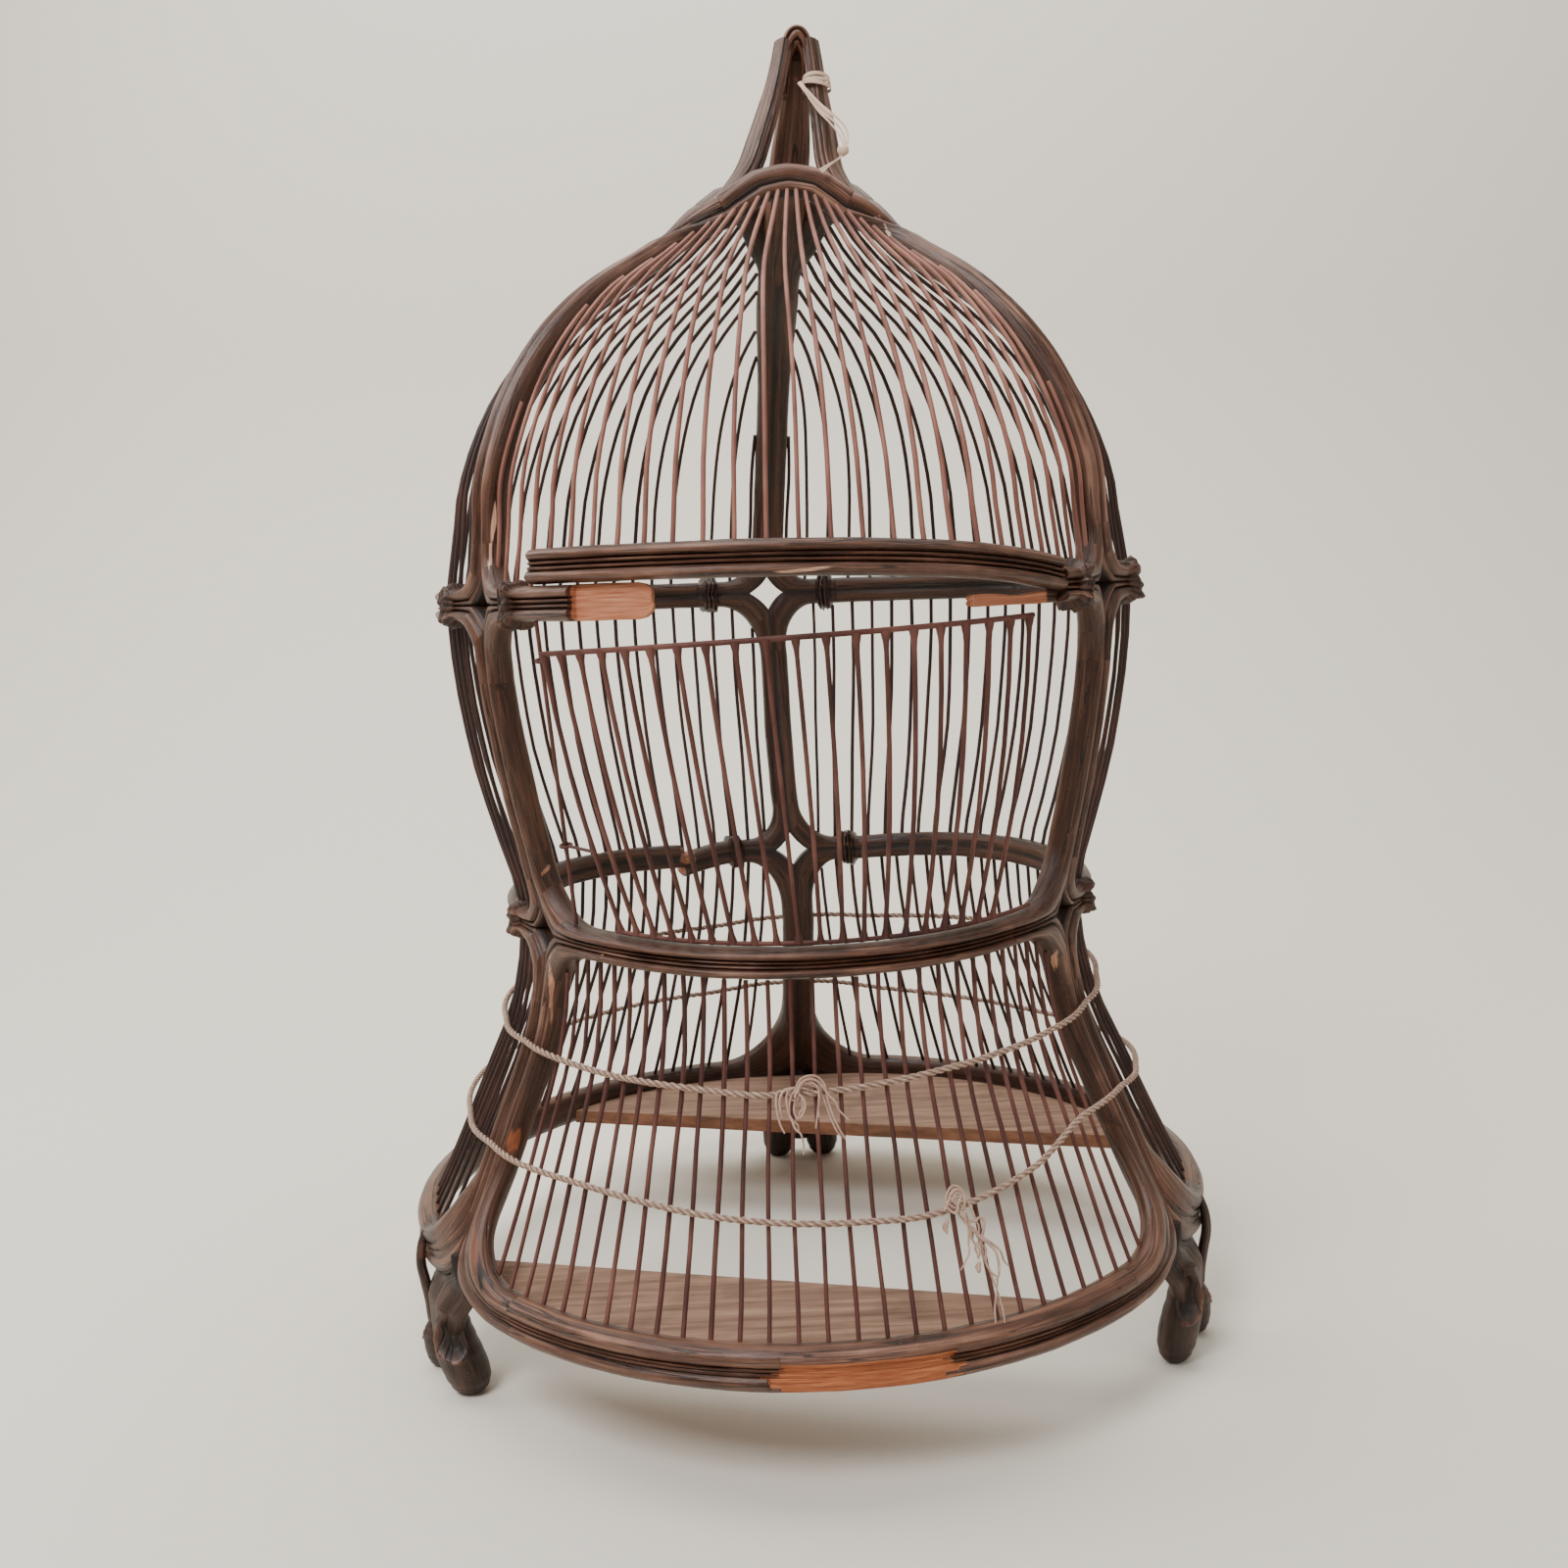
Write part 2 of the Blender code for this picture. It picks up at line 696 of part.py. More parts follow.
def fillet_sizes(rib, lower, upper, waist=False):
    sizes = {}
    for side in (-1, 1):
        sizes[side, 1] = upper
        sizes[side, -1] = lower
    if waist and rib == 1:
        sizes[1, 1] = (front_fillet_width, front_fillet_width)
        sizes[1, -1] = (front_fillet_width, lower[1])
    if waist and rib == 2:
        sizes[-1, 1] = (front_fillet_width, front_fillet_width)
        sizes[-1, -1] = (front_fillet_width, lower[1])
    return sizes


def carve_rib(rib, name, collection=object_collection):
    skin = Skin()
    upper = (upper_fillet_width, upper_fillet_height)
    lower = (lower_fillet_width, lower_fillet_height)
    waist_sizes = fillet_sizes(rib, lower, upper, waist=True)
    waist_ends = junction(skin, rib, waist_level, waist_half_height, barrel_half_width,
                          skirt_half_width, waist_sizes, waist_stubs(rib))
    shoulder_ends = junction(skin, rib, shoulder_level, ring_half_height, dome_half_width,
                             barrel_half_width, fillet_sizes(rib, lower, upper), shoulder_stubs(rib))
    # Skirt stem
    start = foot_split_height
    end = waist_level - lower_fillet_height
    rings = [stem_ring(rib, level, skirt_half_width) for level in evenly(start, end, 4)[:-1]]
    rings[0] = rim_split_ring(rib)
    skin.loft(rings + [waist_ends[-1]])
    # Barrel stem
    start = waist_level + max(waist_sizes[-1, 1][1], waist_sizes[1, 1][1])
    end = shoulder_level - lower_fillet_height
    rings = [stem_ring(rib, level, barrel_half_width) for level in evenly(start, end, 4)[1:-1]]
    skin.loft([waist_ends[1]] + rings + [shoulder_ends[-1]])
    # Dome stem
    start = shoulder_level + upper_fillet_height
    rings = [stem_ring(rib, level, half_width_at(level)) for level in evenly(start, crown_level, 9)[1:]]
    skin.loft([shoulder_ends[1]] + rings)
    for side in (-1, 1):
        crown_strand(skin, rib, side)
        rim_strand(skin, rib, side)
    return skin.finish(name, dark_wood, collection)


def rim_split_ring(rib):
    lobes = {}
    for side in (-1, 1):
        outer = fillet_point(0.0, skirt_half_width, rim_half_height, foot_spread, foot_split_height)

        def where(across, along, depth):
            return rib_place(rib, side * across, along, depth)

        lobes[side] = lobe((0.0, notch_height), outer, rib_half_depth, where)
    return joined_ring(lobes[-1], lobes[1])


def union(target, extra):
    """Fuses one closed object with another, or with several that are wholly apart."""
    combine(target, extra, "UNION")
    bpy.data.objects.remove(extra, do_unlink=True)


def combine(target, tool, operation):
    modifier = target.modifiers.new("combine", "BOOLEAN")
    modifier.operation = operation
    modifier.solver = "EXACT"
    modifier.object = tool
    bpy.context.view_layer.update()
    with bpy.context.temp_override(object=target, active_object=target, selected_objects=[target]):
        bpy.ops.object.modifier_apply(modifier=modifier.name)
    mesh = bmesh.new()
    mesh.from_mesh(target.data)
    bmesh.ops.remove_doubles(mesh, verts=mesh.verts, dist=weld)
    bmesh.ops.dissolve_degenerate(mesh, edges=mesh.edges, dist=weld)
    bmesh.ops.triangulate(mesh, faces=[face for face in mesh.faces if len(face.verts) > 4])
    mesh.to_mesh(target.data)
    mesh.free()
    target.data.set_sharp_from_angle(angle=math.radians(sharp_angle))


def tube(skin, points, radius, sides=wire_sides):
    """A closed tube along the points, added to a skin."""
    rings = []
    normal = Vector((points[0].x, points[0].y, 0.0))
    for index, point in enumerate(points):
        before = points[max(index - 1, 0)]
        after = points[min(index + 1, len(points) - 1)]
        direction = (after - before).normalized()
        normal = (normal - direction * normal.dot(direction)).normalized()
        across = direction.cross(normal)
        ring = []
        for step in range(sides):
            angle = math.tau * step / sides
            ring.append(point + radius * (math.cos(angle) * normal + math.sin(angle) * across))
        rings.append(ring)
    skin.loft(rings, cap_start=True, cap_end=True)


def resample(points, count):
    lengths = [0.0]
    for before, after in zip(points, points[1:]):
        lengths.append(lengths[-1] + (after - before).length)
    result = []
    index = 0
    for step in range(count):
        wanted = lengths[-1] * step / (count - 1)
        while index < len(points) - 2 and lengths[index + 1] < wanted:
            index += 1
        span = lengths[index + 1] - lengths[index]
        result.append(points[index].lerp(points[index + 1], (wanted - lengths[index]) / span))
    return result


def least_gap_to_itself(points, radius, closed):
    """The least space between two parts of a tube that aren't next to each other."""
    lengths = [0.0]
    for before, after in zip(points, points[1:]):
        lengths.append(lengths[-1] + (after - before).length)
    total = lengths[-1] + ((points[0] - points[-1]).length if closed else 0.0)
    least = total
    for first in range(len(points)):
        for second in range(first + 1, len(points)):
            apart = lengths[second] - lengths[first]
            if closed:
                apart = min(apart, total - apart)
            if apart > math.pi * 2.0 * radius:
                least = min(least, (points[first] - points[second]).length)
    return least - 2.0 * radius


def until_near(points, trees, clearance):
    """The part of a path before it comes nearer than the clearance to an obstacle."""
    kept = [points[0]]
    for before, after in zip(points, points[1:]):
        for share in (0.25, 0.5, 0.75, 1.0):
            probe = before.lerp(after, share)
            for tree in trees:
                if tree.find_nearest(probe, clearance)[0] is not None:
                    return kept
            kept.append(probe)
    return kept


def tree_of(item):
    mesh = bmesh.new()
    mesh.from_mesh(item.data)
    mesh.transform(item.matrix_world)
    tree = BVHTree.FromBMesh(mesh)
    mesh.free()
    return tree


# Ribs with the legs that carry the handle
def leg_ring(rib, level, half_width, half_thickness):
    """A section of a handle leg, square to the rib's own plane."""
    centre = rib_place(rib, 0.0, level)
    angle = math.radians(rib_azimuth(rib, level))
    outward = Vector((math.cos(angle), math.sin(angle), 0.0))
    across_direction = Vector((-math.sin(angle), math.cos(angle), 0.0))
    out_radius, out_height = profile.normal(level)
    normal = outward * out_radius + Vector((0.0, 0.0, out_height))

    def where(across, along, depth):
        return centre + across_direction * across + normal * depth

    left = lobe((0.0, 0.0), (-half_width, 0.0), half_thickness, where)
    right = lobe((0.0, 0.0), (half_width, 0.0), half_thickness, where)
    return joined_ring(left, right)


crest_bottom = handle_top - crest_height
leg_end_level = profile.length_at(crest_bottom - gap)


def leg_skin(rib, extra):
    """The leg's closed loft; extra makes it fatter all round, for cutting room for it."""
    skin = Skin()
    start = crown_level - leg_root
    rings = []
    steps = 9
    for step in range(steps):
        share = step / (steps - 1)
        level = blend(start, leg_end_level, share)
        width = blend(leg_foot_half_width, leg_half_width, smooth_step(share * 4.0))
        narrowing = smooth_step((share - 0.5) / 0.5)
        width = blend(width, leg_top_half_width, narrowing)
        thickness = blend(leg_half_thickness, leg_top_half_thickness, narrowing)
        rings.append(leg_ring(rib, level, width + extra, thickness + extra))
    for point in rings[-1]:
        point.z = crest_bottom - gap
    skin.loft(rings, cap_start=True, cap_end=True)
    return skin


# The hinge wire of the door stands on the front left rib
def on_surface(azimuth, height, depth=0.0):
    return place(azimuth, profile.length_at(height), depth)


rod_top = on_surface(rod_top_azimuth, shoulder_height - ring_half_height)
rod_foot = on_surface(rod_foot_azimuth, waist_height)
rod_direction = (rod_top - rod_foot).normalized()


def add_rod(item):
    skin = Skin()
    end = rod_top - rod_direction * (wire_seat)
    tube(skin, [rod_foot, rod_foot.lerp(end, 0.5), end], hinge_rod_radius, 6)
    union(item, skin.finish("rod", rusty_wire, cutter_collection))


ribs = []
for index, label in enumerate(rib_names):
    ribs.append(carve_rib(index, "rib_" + label))
    union(ribs[-1], leg_skin(index, 0.0).finish("leg", dark_wood, cutter_collection))
add_rod(ribs[1])

# Crest of the handle
def ellipse_ring(centre, width, depth, count):
    ring = []
    for step in range(count):
        angle = math.tau * step / count
        ring.append(centre + Vector((width * math.cos(angle) / 2.0, depth * math.sin(angle) / 2.0, 0.0)))
    return ring


crest_ring_shares = ((0.0, 0.92), (0.08, 0.96), (0.40, 0.93), (0.70, 0.84), (0.88, 0.66), (1.0, 0.24))


def build_crest():
    skin = Skin()
    rings = []
    for height_share, width_share in crest_ring_shares:
        centre = Vector((lean_at(handle_top), 0.0, crest_bottom + crest_height * height_share))
        rings.append(ellipse_ring(centre, crest_width * width_share, crest_depth * width_share, 14))
    skin.loft(rings, cap_start=True, cap_end=True)
    return skin.finish("handle_crest", dark_wood)


build_crest()

# Arches under the handle
side_ribs = [(rib, (rib + 1) % len(rib_names)) for rib in range(len(rib_names))]
arches = []
arch_stations = (-1.0, -0.75, -0.5, -0.25, 0.0, 0.25, 0.5, 0.75, 1.0)


def arch_end_ring(azimuth, share):
    """The ring at an arch's end, a gap short of the rib's stub."""
    shift = arch_frame(azimuth, share)[1] * -math.copysign(gap, share)
    return [point + shift for point in arch_ring(azimuth, share)]


for label, azimuth in zip(side_names, (150.0, 270.0, 30.0)):
    skin = Skin()
    skin.loft([arch_end_ring(azimuth, -1.0)]
              + [arch_ring(azimuth, station) for station in arch_stations[1:-1]]
              + [arch_end_ring(azimuth, 1.0)], cap_start=True, cap_end=True)
    arches.append(skin.finish("arch_" + label, dark_wood))
leg_rooms = [leg_skin(index, gap).finish("leg_room_" + rib_names[index], dark_wood, cutter_collection)
             for index in range(3)]
for arch, beside in zip(arches, side_ribs):
    for index in beside:
        combine(arch, leg_rooms[index], "DIFFERENCE")

# Rails
side_middles = (150.0, 270.0, 390.0)


def rail_place(side, level, starts, share, rise, depth, lift=0.0):
    first, second = side_ribs[side]
    own_level = level + rise + lift
    radius = profile.point(own_level).x
    start = rib_azimuth(first, own_level) + math.degrees(starts[0] / radius)
    end = rib_azimuth(second, own_level) - math.degrees(starts[1] / radius)
    if end < start:
        end += 360.0
    return place(blend(start, end, share), own_level, depth)


def rail_rings(side, level, half_height, starts, lift, stations=13):
    """lift(share) raises the rail's middle line between its two ends."""
    rings = []
    for station in range(stations):
        share = station / (stations - 1)

        def where(across, along, depth):
            return rail_place(side, level, starts, share, along, depth, lift(share))

        top = lobe((0.0, 0.0), (0.0, half_height), rib_half_depth, where)
        bottom = lobe((0.0, 0.0), (0.0, -half_height), rib_half_depth, where)
        rings.append(joined_ring(top, bottom))
    return rings


def level_lift(share):
    return 0.0


def waist_lift(rise):
    def lift(share):
        return rise * 4.0 * share * (1.0 - share)

    return lift


def build_rail(name, side, level, half_height, starts, lift):
    skin = Skin()
    skin.loft(rail_rings(side, level, half_height, starts, lift), cap_start=True, cap_end=True)
    return skin.finish(name, dark_wood)


stub_end = stub_length + gap
front_start = stub_length + collar_length + gap
left_waist_start = across_at(0, waist_level, waist_lap_azimuth) + gap
shoulder_rails = {
    0: build_rail("shoulder_rail_left", 0, shoulder_level, ring_half_height, (stub_end, stub_end),
                  level_lift),
    2: build_rail("shoulder_rail_right", 2, shoulder_level, ring_half_height, (stub_end, stub_end),
                  level_lift),
}
waist_rails = {
    0: build_rail("waist_rail_left", 0, waist_level, waist_half_height, (left_waist_start, stub_end),
                  waist_lift(left_waist_rise)),
    1: build_rail("waist_rail_front", 1, waist_level, waist_half_height, (front_start, front_start),
                  waist_lift(-front_waist_sag)),
    2: build_rail("waist_rail_right", 2, waist_level, waist_half_height, (stub_end, stub_end),
                  waist_lift(right_waist_rise)),
}


def loose_lift(azimuth):
    share = (azimuth - loose_left) / (loose_right - loose_left)
    return blend(loose_lift_left, loose_lift_right, share ** 4)


def build_loose_rail():
    skin = Skin()
    rings = []
    stations = 13
    for station in range(stations):
        azimuth = blend(loose_left, loose_right, station / (stations - 1))

        def where(across, along, depth):
            return place(azimuth, shoulder_level + loose_lift(azimuth) + along, depth)

        top = lobe((0.0, 0.0), (0.0, ring_half_height), rib_half_depth, where)
        bottom = lobe((0.0, 0.0), (0.0, -ring_half_height), rib_half_depth, where)
        rings.append(joined_ring(top, bottom))
    skin.loft(rings, cap_start=True, cap_end=True)
    return skin.finish("shoulder_rail_loose", dark_wood)


shoulder_rails[1] = build_loose_rail()

rims = {}
rim_trim = math.degrees((foot_spread + collar_length + gap) / rim_radius)
rim_stations = 15
for side, label in enumerate(side_names):
    skin = Skin()
    middle = side_middles[side]
    azimuths = evenly(middle - 60.0 + rim_trim, middle + 60.0 - rim_trim, rim_stations)
    skin.loft([rim_ring(azimuth) for azimuth in azimuths], cap_start=True, cap_end=True)
    rims[side] = skin.finish("base_rim_" + label, dark_wood)

# Wires: each stands on the carved member under it and ends just short of the one above
rib_trees = [tree_of(rib) for rib in ribs]
clearance = wire_radius + gap
rib_wires = {0: Skin(), 1: Skin(), 2: Skin()}


def turn_to_rib(side, share, level):
    """From a side's middle to the rib on the side that the share's sign tells, in degrees."""
    azimuth = rib_azimuth(rib_beside(side, share), level)
    return abs((azimuth - side_middles[side] + 180.0) % 360.0 - 180.0)


def dome_turn(side, share, level):
    """How far a wire stands from its side's middle, in degrees; share 1 or -1 keeps beside the rib."""
    room = half_width_at(level) + wire_radius + dome_wire_room
    return (turn_to_rib(side, share, level) - math.degrees(room / profile.point(level).x)) * share


def dome_path(side, share, start):
    """A wire from a rail up to an arch or a rib; all of them fan out as they rise."""
    top = profile.length_at(arch_height)
    points = []
    steps = 70
    for step in range(steps):
        level = blend(start, top, step / (steps - 1))
        risen = (level - shoulder_level) / (top - shoulder_level)
        spread = 1.0 + dome_spread_share * max(risen, 0.0) ** dome_spread_power
        if abs(share * spread) > 1.0 + dome_overrun_share:
            break
        points.append(place(side_middles[side] + dome_turn(side, share * spread, level), level))
    return points


def straight_path(side, low_turn, high_turn, low_level, high_level):
    points = []
    steps = 40
    for step in range(steps):
        share = step / (steps - 1)
        azimuth = side_middles[side] + blend(low_turn, high_turn, share)
        points.append(place(azimuth, blend(low_level, high_level, share)))
    return points


def rib_beside(side, turn):
    return side_ribs[side][0 if turn < 0.0 else 1]


def stub_turn(rib, level, stub):
    """How far from a side's middle the stub of a rib ends, in degrees."""
    return 60.0 - math.degrees(stub / profile.point(level).x)


def fit_wire(skin, path, trees, count, own_rib=None):
    """Adds a wire; one that stands on a rib starts inside it and is followed from further up."""
    if own_rib is None:
        kept = until_near(path, trees, clearance)
    else:
        first = len(path) // 3
        kept = path[:first] + until_near(path[first:], trees, clearance)
    tube(skin, resample(kept, count), wire_radius)


def add_dome_wires(side):
    skin = Skin()
    trees = rib_trees + [tree_of(arches[side])]
    stub = math.degrees(stub_length / profile.point(shoulder_level).x)
    for share in evenly(-1.0, 1.0, dome_wires):
        turn = dome_turn(side, share, shoulder_level)
        limit = turn_to_rib(side, share, shoulder_level) - stub - carrier_margin
        if side == 1:
            limit = side_middles[1] - loose_left - carrier_margin
        if abs(turn) <= limit:
            lift = ring_half_height - wire_seat
            if side == 1:
                lift += loose_lift(side_middles[side] + turn)
            fit_wire(skin, dome_path(side, share, shoulder_level + lift), trees, dome_rings)
        elif abs(turn) > limit + 2.0 * carrier_margin:
            rib = rib_beside(side, turn)
            path = dome_path(side, share, shoulder_level + ring_half_height / 2.0)
            fit_wire(rib_wires[rib], path, trees, dome_rings, rib)
    union(shoulder_rails[side], skin.finish("wires", rusty_wire, cutter_collection))


def add_barrel_wires(side):
    skin = Skin()
    trees = rib_trees + [tree_of(shoulder_rails[side])]
    limit = stub_turn(0, waist_level, stub_length) - carrier_margin
    rise = left_waist_rise if side == 0 else right_waist_rise
    for turn in evenly(-barrel_wire_turn, barrel_wire_turn, barrel_wires):
        carried = abs(turn) <= limit
        if side == 0 and side_middles[side] + turn < waist_lap_azimuth + carrier_margin:
            carried = False
        if carried:
            share = turn / (limit + carrier_margin)
            lift = waist_half_height - wire_seat + rise * (1.0 - share * share)
            path = straight_path(side, turn, turn, waist_level + lift, shoulder_level)
            fit_wire(skin, path, trees, barrel_rings)
        elif abs(abs(turn) - limit) > 2.0 * carrier_margin:
            rib = rib_beside(side, turn)
            path = straight_path(side, turn, turn, waist_level, shoulder_level)
            fit_wire(rib_wires[rib], path, trees, barrel_rings, rib)
    union(waist_rails[side], skin.finish("wires", rusty_wire, cutter_collection))


def add_skirt_wires(side):
    skin = Skin()
    trees = rib_trees + [tree_of(waist_rails[side])]
    limit = 60.0 - rim_trim - carrier_margin
    low = evenly(-skirt_wire_turn, skirt_wire_turn, skirt_wires)
    high = evenly(-skirt_top_turn, skirt_top_turn, skirt_wires)
    for low_turn, high_turn in zip(low, high):
        if abs(low_turn) <= limit:
            path = straight_path(side, low_turn, high_turn, rim_half_height - wire_seat, waist_level)
            fit_wire(skin, path, trees, skirt_rings)
        elif abs(low_turn) > limit + 2.0 * carrier_margin:
            rib = rib_beside(side, low_turn)
            path = straight_path(side, low_turn, high_turn, rim_half_height / 3.0, waist_level)
            fit_wire(rib_wires[rib], path, trees, skirt_rings, rib)
    union(rims[side], skin.finish("wires", rusty_wire, cutter_collection))


for side in range(3):
    add_skirt_wires(side)
for side in (0, 2):
    add_barrel_wires(side)
for side in range(3):
    add_dome_wires(side)
for index, rib in enumerate(ribs):
    union(rib, rib_wires[index].finish("wires", rusty_wire, cutter_collection))


# The wire door hangs by two eyes on the hinge wire
def door_point(turn_share, height_share):
    top_azimuth = blend(door_left, door_right, turn_share)
    foot_azimuth = blend(door_foot_left, door_foot_right, turn_share)
    top_height = shoulder_height - blend(door_top_drop_left, door_top_drop_right, turn_share)
    azimuth = blend(foot_azimuth, top_azimuth, height_share)
    top = profile.length_at(top_height)
    return place(azimuth, blend(door_foot_level(foot_azimuth), top, height_share))


def door_foot_level(azimuth):
    trim = math.degrees(front_start / waist_radius)
    start = rib_azimuths[1] + trim
    share = (azimuth - start) / (rib_azimuths[2] - trim - start)
    sag = front_waist_sag * 4.0 * share * (1.0 - share)
    return waist_level + waist_half_height - sag + wire_radius + door_bottom_gap


def ring_frame(direction):
    first = direction.orthogonal().normalized()
    return first, direction.cross(first).normalized()


def build_door():
    skin = Skin()
    across_shares = evenly(-door_overrun_share, 1.0 + door_overrun_share, 12)
    tube(skin, [door_point(share, 0.0) for share in across_shares], wire_radius, 4)
    verticals = Skin()
    for share in evenly(0.0, 1.0, door_wires):
        tube(verticals, [door_point(share, height) for height in evenly(0.0, 1.0, 5)], wire_radius)
    item = verticals.finish("door", rusty_wire)
    tops = Skin()
    tube(tops, [door_point(share, 1.0) for share in across_shares], door_top_radius, 4)
    union(item, skin.finish("foot", rusty_wire, cutter_collection))
    union(item, tops.finish("top", rusty_wire, cutter_collection))
    for height in (waist_height + lower_eye_rise, shoulder_height - upper_eye_drop):
        share = (height - rod_foot.z) / (rod_top.z - rod_foot.z)
        centre = rod_foot.lerp(rod_top, share)
        stile_share = (height - door_point(0.0, 0.0).z) / (door_point(0.0, 1.0).z - door_point(0.0, 0.0).z)
        stile = door_point(0.0, stile_share)
        eye = Skin()
        first, second = ring_frame(rod_direction)
        rings = []
        for step in range(10):
            angle = math.tau * step / 10
            outward = first * math.cos(angle) + second * math.sin(angle)
            ring = []
            for corner in range(4):
                turn = math.tau * corner / 4
                ring.append(centre + outward * (eye_radius + eye_wire_radius * math.cos(turn))
                            + rod_direction * eye_wire_radius * math.sin(turn))
            rings.append(ring)
        rings.append(rings[0])
        eye.loft(rings)
        union(item, eye.finish("eye", rusty_wire, cutter_collection))
        link = Skin()
        toward = (stile - centre).normalized()
        tube(link, [centre + toward * eye_radius, stile], eye_wire_radius, 4)
        union(item, link.finish("link", rusty_wire, cutter_collection))
    item.name = "wire_door"
    item.data.name = "wire_door"
    hinge = rod_foot.lerp(rod_top, 0.5)
    item.data.transform(Matrix.Translation(-hinge))
    item.location = hinge
    print("hinge", [round(value, 5) for value in hinge], [round(value, 5) for value in rod_direction])
    return item


door = build_door()


# Feet: each bulges out as far as the front rim, so that the cage's box is even front and back
def foot_lobe_at(turn):
    """Outward share of a foot's section: two round scrolls side by side."""
    return math.copysign(abs(math.sin(turn)) ** 0.6, math.sin(turn))


def foot_outward_share():
    turns = [math.tau * step / foot_sides for step in range(foot_sides)]
    cleft = foot_cleft_shares[2]
    return max((1.0 - cleft * (1.0 - abs(math.cos(turn))) ** 2) * foot_lobe_at(turn) for turn in turns)


rim_reach = rim_radius * (1.0 + bow_shares[0]) + rim_half_depth * lobe_shares[1][1]
foot_lean = rim_reach - rim_radius - foot_half_depth * foot_bulge_share * foot_outward_share()


def build_foot(rib):
    angle = math.radians(rib_azimuths[rib])
    outward = Vector((math.cos(angle), math.sin(angle), 0.0))
    across = Vector((-math.sin(angle), math.cos(angle), 0.0))
    skin = Skin()
    rings = []
    for (height_share, width_share, depth_share, out_share), cleft in zip(foot_shares, foot_cleft_shares):
        centre = outward * (rim_radius + foot_lean * out_share)
        centre.z = foot_height * height_share
        ring = []
        for step in range(foot_sides):
            turn = math.tau * step / foot_sides
            narrowing = 1.0 - cleft * (1.0 - abs(math.cos(turn))) ** 2
            ring.append(centre + across * (foot_half_width * width_share * math.cos(turn))
                        + outward * (foot_half_depth * depth_share * narrowing * foot_lobe_at(turn)))
        rings.append(ring)
    skin.loft(rings, cap_start=True, cap_end=True)
    return skin.finish("foot_" + rib_names[rib], dark_wood)


for index in range(3):
    build_foot(index)


# Floor boards
def board_outline(low, high, edge, rear):
    """The inside of the rim cut off along a slanting line."""
    turn = math.radians(board_turn)
    direction = Vector((math.sin(turn), math.cos(turn), 0.0))
    sign = 1.0 if rear else -1.0
    outline = []
    azimuths = []
    for middle in (30.0, 150.0, 270.0):
        azimuths += evenly(middle - 60.0 + rim_trim, middle + 60.0 - rim_trim, rim_stations)
        azimuths += evenly(middle + 60.0 - rim_trim, middle + 60.0 + rim_trim, 9)[1:-1]
    for azimuth in azimuths + azimuths[:1]:
        corner = 1.0 - smooth_step((abs((azimuth - 30.0) % 120.0 - 60.0)) / rim_trim)
        radius = (rim_radius * bow_factor(azimuth, 0.0) - rim_half_depth * lobe_shares[1][1] - gap
                  - corner_room * corner)
        angle = math.radians(azimuth)
        outline.append(Vector((radius * math.cos(angle), radius * math.sin(angle), 0.0)))
    kept = []
    for before, after in zip(outline, outline[1:]):
        inside_before = sign * before.dot(direction) - edge
        inside_after = sign * after.dot(direction) - edge
        if inside_before >= 0.0:
            kept.append(before)
        if inside_before * inside_after < 0.0:
            kept.append(before.lerp(after, inside_before / (inside_before - inside_after)))
    skin = Skin()
    rows = []
    for height in (low, high):
        rows.append([Vector((point.x, point.y, height)) for point in kept])
    skin.loft(rows, cap_start=True, cap_end=True)
    return skin


board_top = board_bottom + board_thickness
rear_board = board_outline(board_bottom, board_top, rim_radius - rear_board_width, True)
rear_board.finish("floor_board_rear", board_wood)
front_board = board_outline(board_bottom, board_top, rim_radius - front_board_width, False)
front_board.finish("floor_board_front", board_wood)


# Twine: closed loops laid round the skirt, each with its knot
def twine_point(azimuth, height):
    level = profile.length_at(height)
    turn = abs((azimuth - 30.0) % 120.0 - 60.0)
    on_rib = 1.0 - smooth_step((turn - twine_rib_turn) / twine_ease_turn)
    rise = blend(wire_radius + twine_slack, rib_half_depth + twine_rib_slack, on_rib) + twine_radius
    return place(azimuth, level, rise)


def loop_height(table, azimuth):
    heights = [height for own_azimuth, height in table]
    for index in range(len(table) - 1):
        low, high = table[index][0], table[index + 1][0]
        if low <= azimuth <= high:
            return spline_point(heights, index + (azimuth - low) / (high - low))
    return heights[-1]


def build_twine(name, table, knot_azimuth):
    points = []
    for step in range(twine_points):
        azimuth = table[0][0] + 360.0 * step / twine_points
        points.append(twine_point(azimuth, loop_height(table, azimuth)))
    rings = []
    for index, point in enumerate(points):
        direction = (points[(index + 1) % len(points)] - points[index - 1]).normalized()
        outward = Vector((point.x, point.y, 0.0)).normalized()
        across = direction.cross(outward).normalized()
        normal = across.cross(direction).normalized()
        rings.append([point + twine_radius * (math.cos(turn) * normal + math.sin(turn) * across)
                      for turn in (math.tau * corner / 5 for corner in range(5))])
    rings.append(rings[0])
    print(name, "least gap to itself", round(least_gap_to_itself(points, twine_radius, True), 5))
    skin = Skin()
    skin.loft(rings)
    item = skin.finish(name, hemp_twine)
    knot = Skin()
    centre = twine_point(knot_azimuth, loop_height(table, knot_azimuth))
    outward = Vector((centre.x, centre.y, 0.0)).normalized()
    across = Vector((-outward.y, outward.x, 0.0))
    centre += outward * knot_radius * knot_lift_share
    rings = []
    for share in (-0.97, -0.7, 0.0, 0.7, 0.97):
        radius = knot_radius * math.sqrt(1.0 - share * share)
        rings.append([centre + across * knot_radius * share
                      + outward * (radius * knot_depth_share * math.cos(turn))
                      + Vector((0.0, 0.0, radius * math.sin(turn)))
                      for turn in (math.tau * corner / 8 for corner in range(8))])
    knot.loft(rings, cap_start=True, cap_end=True)
    union(item, knot.finish("knot", hemp_twine, cutter_collection))
    return item


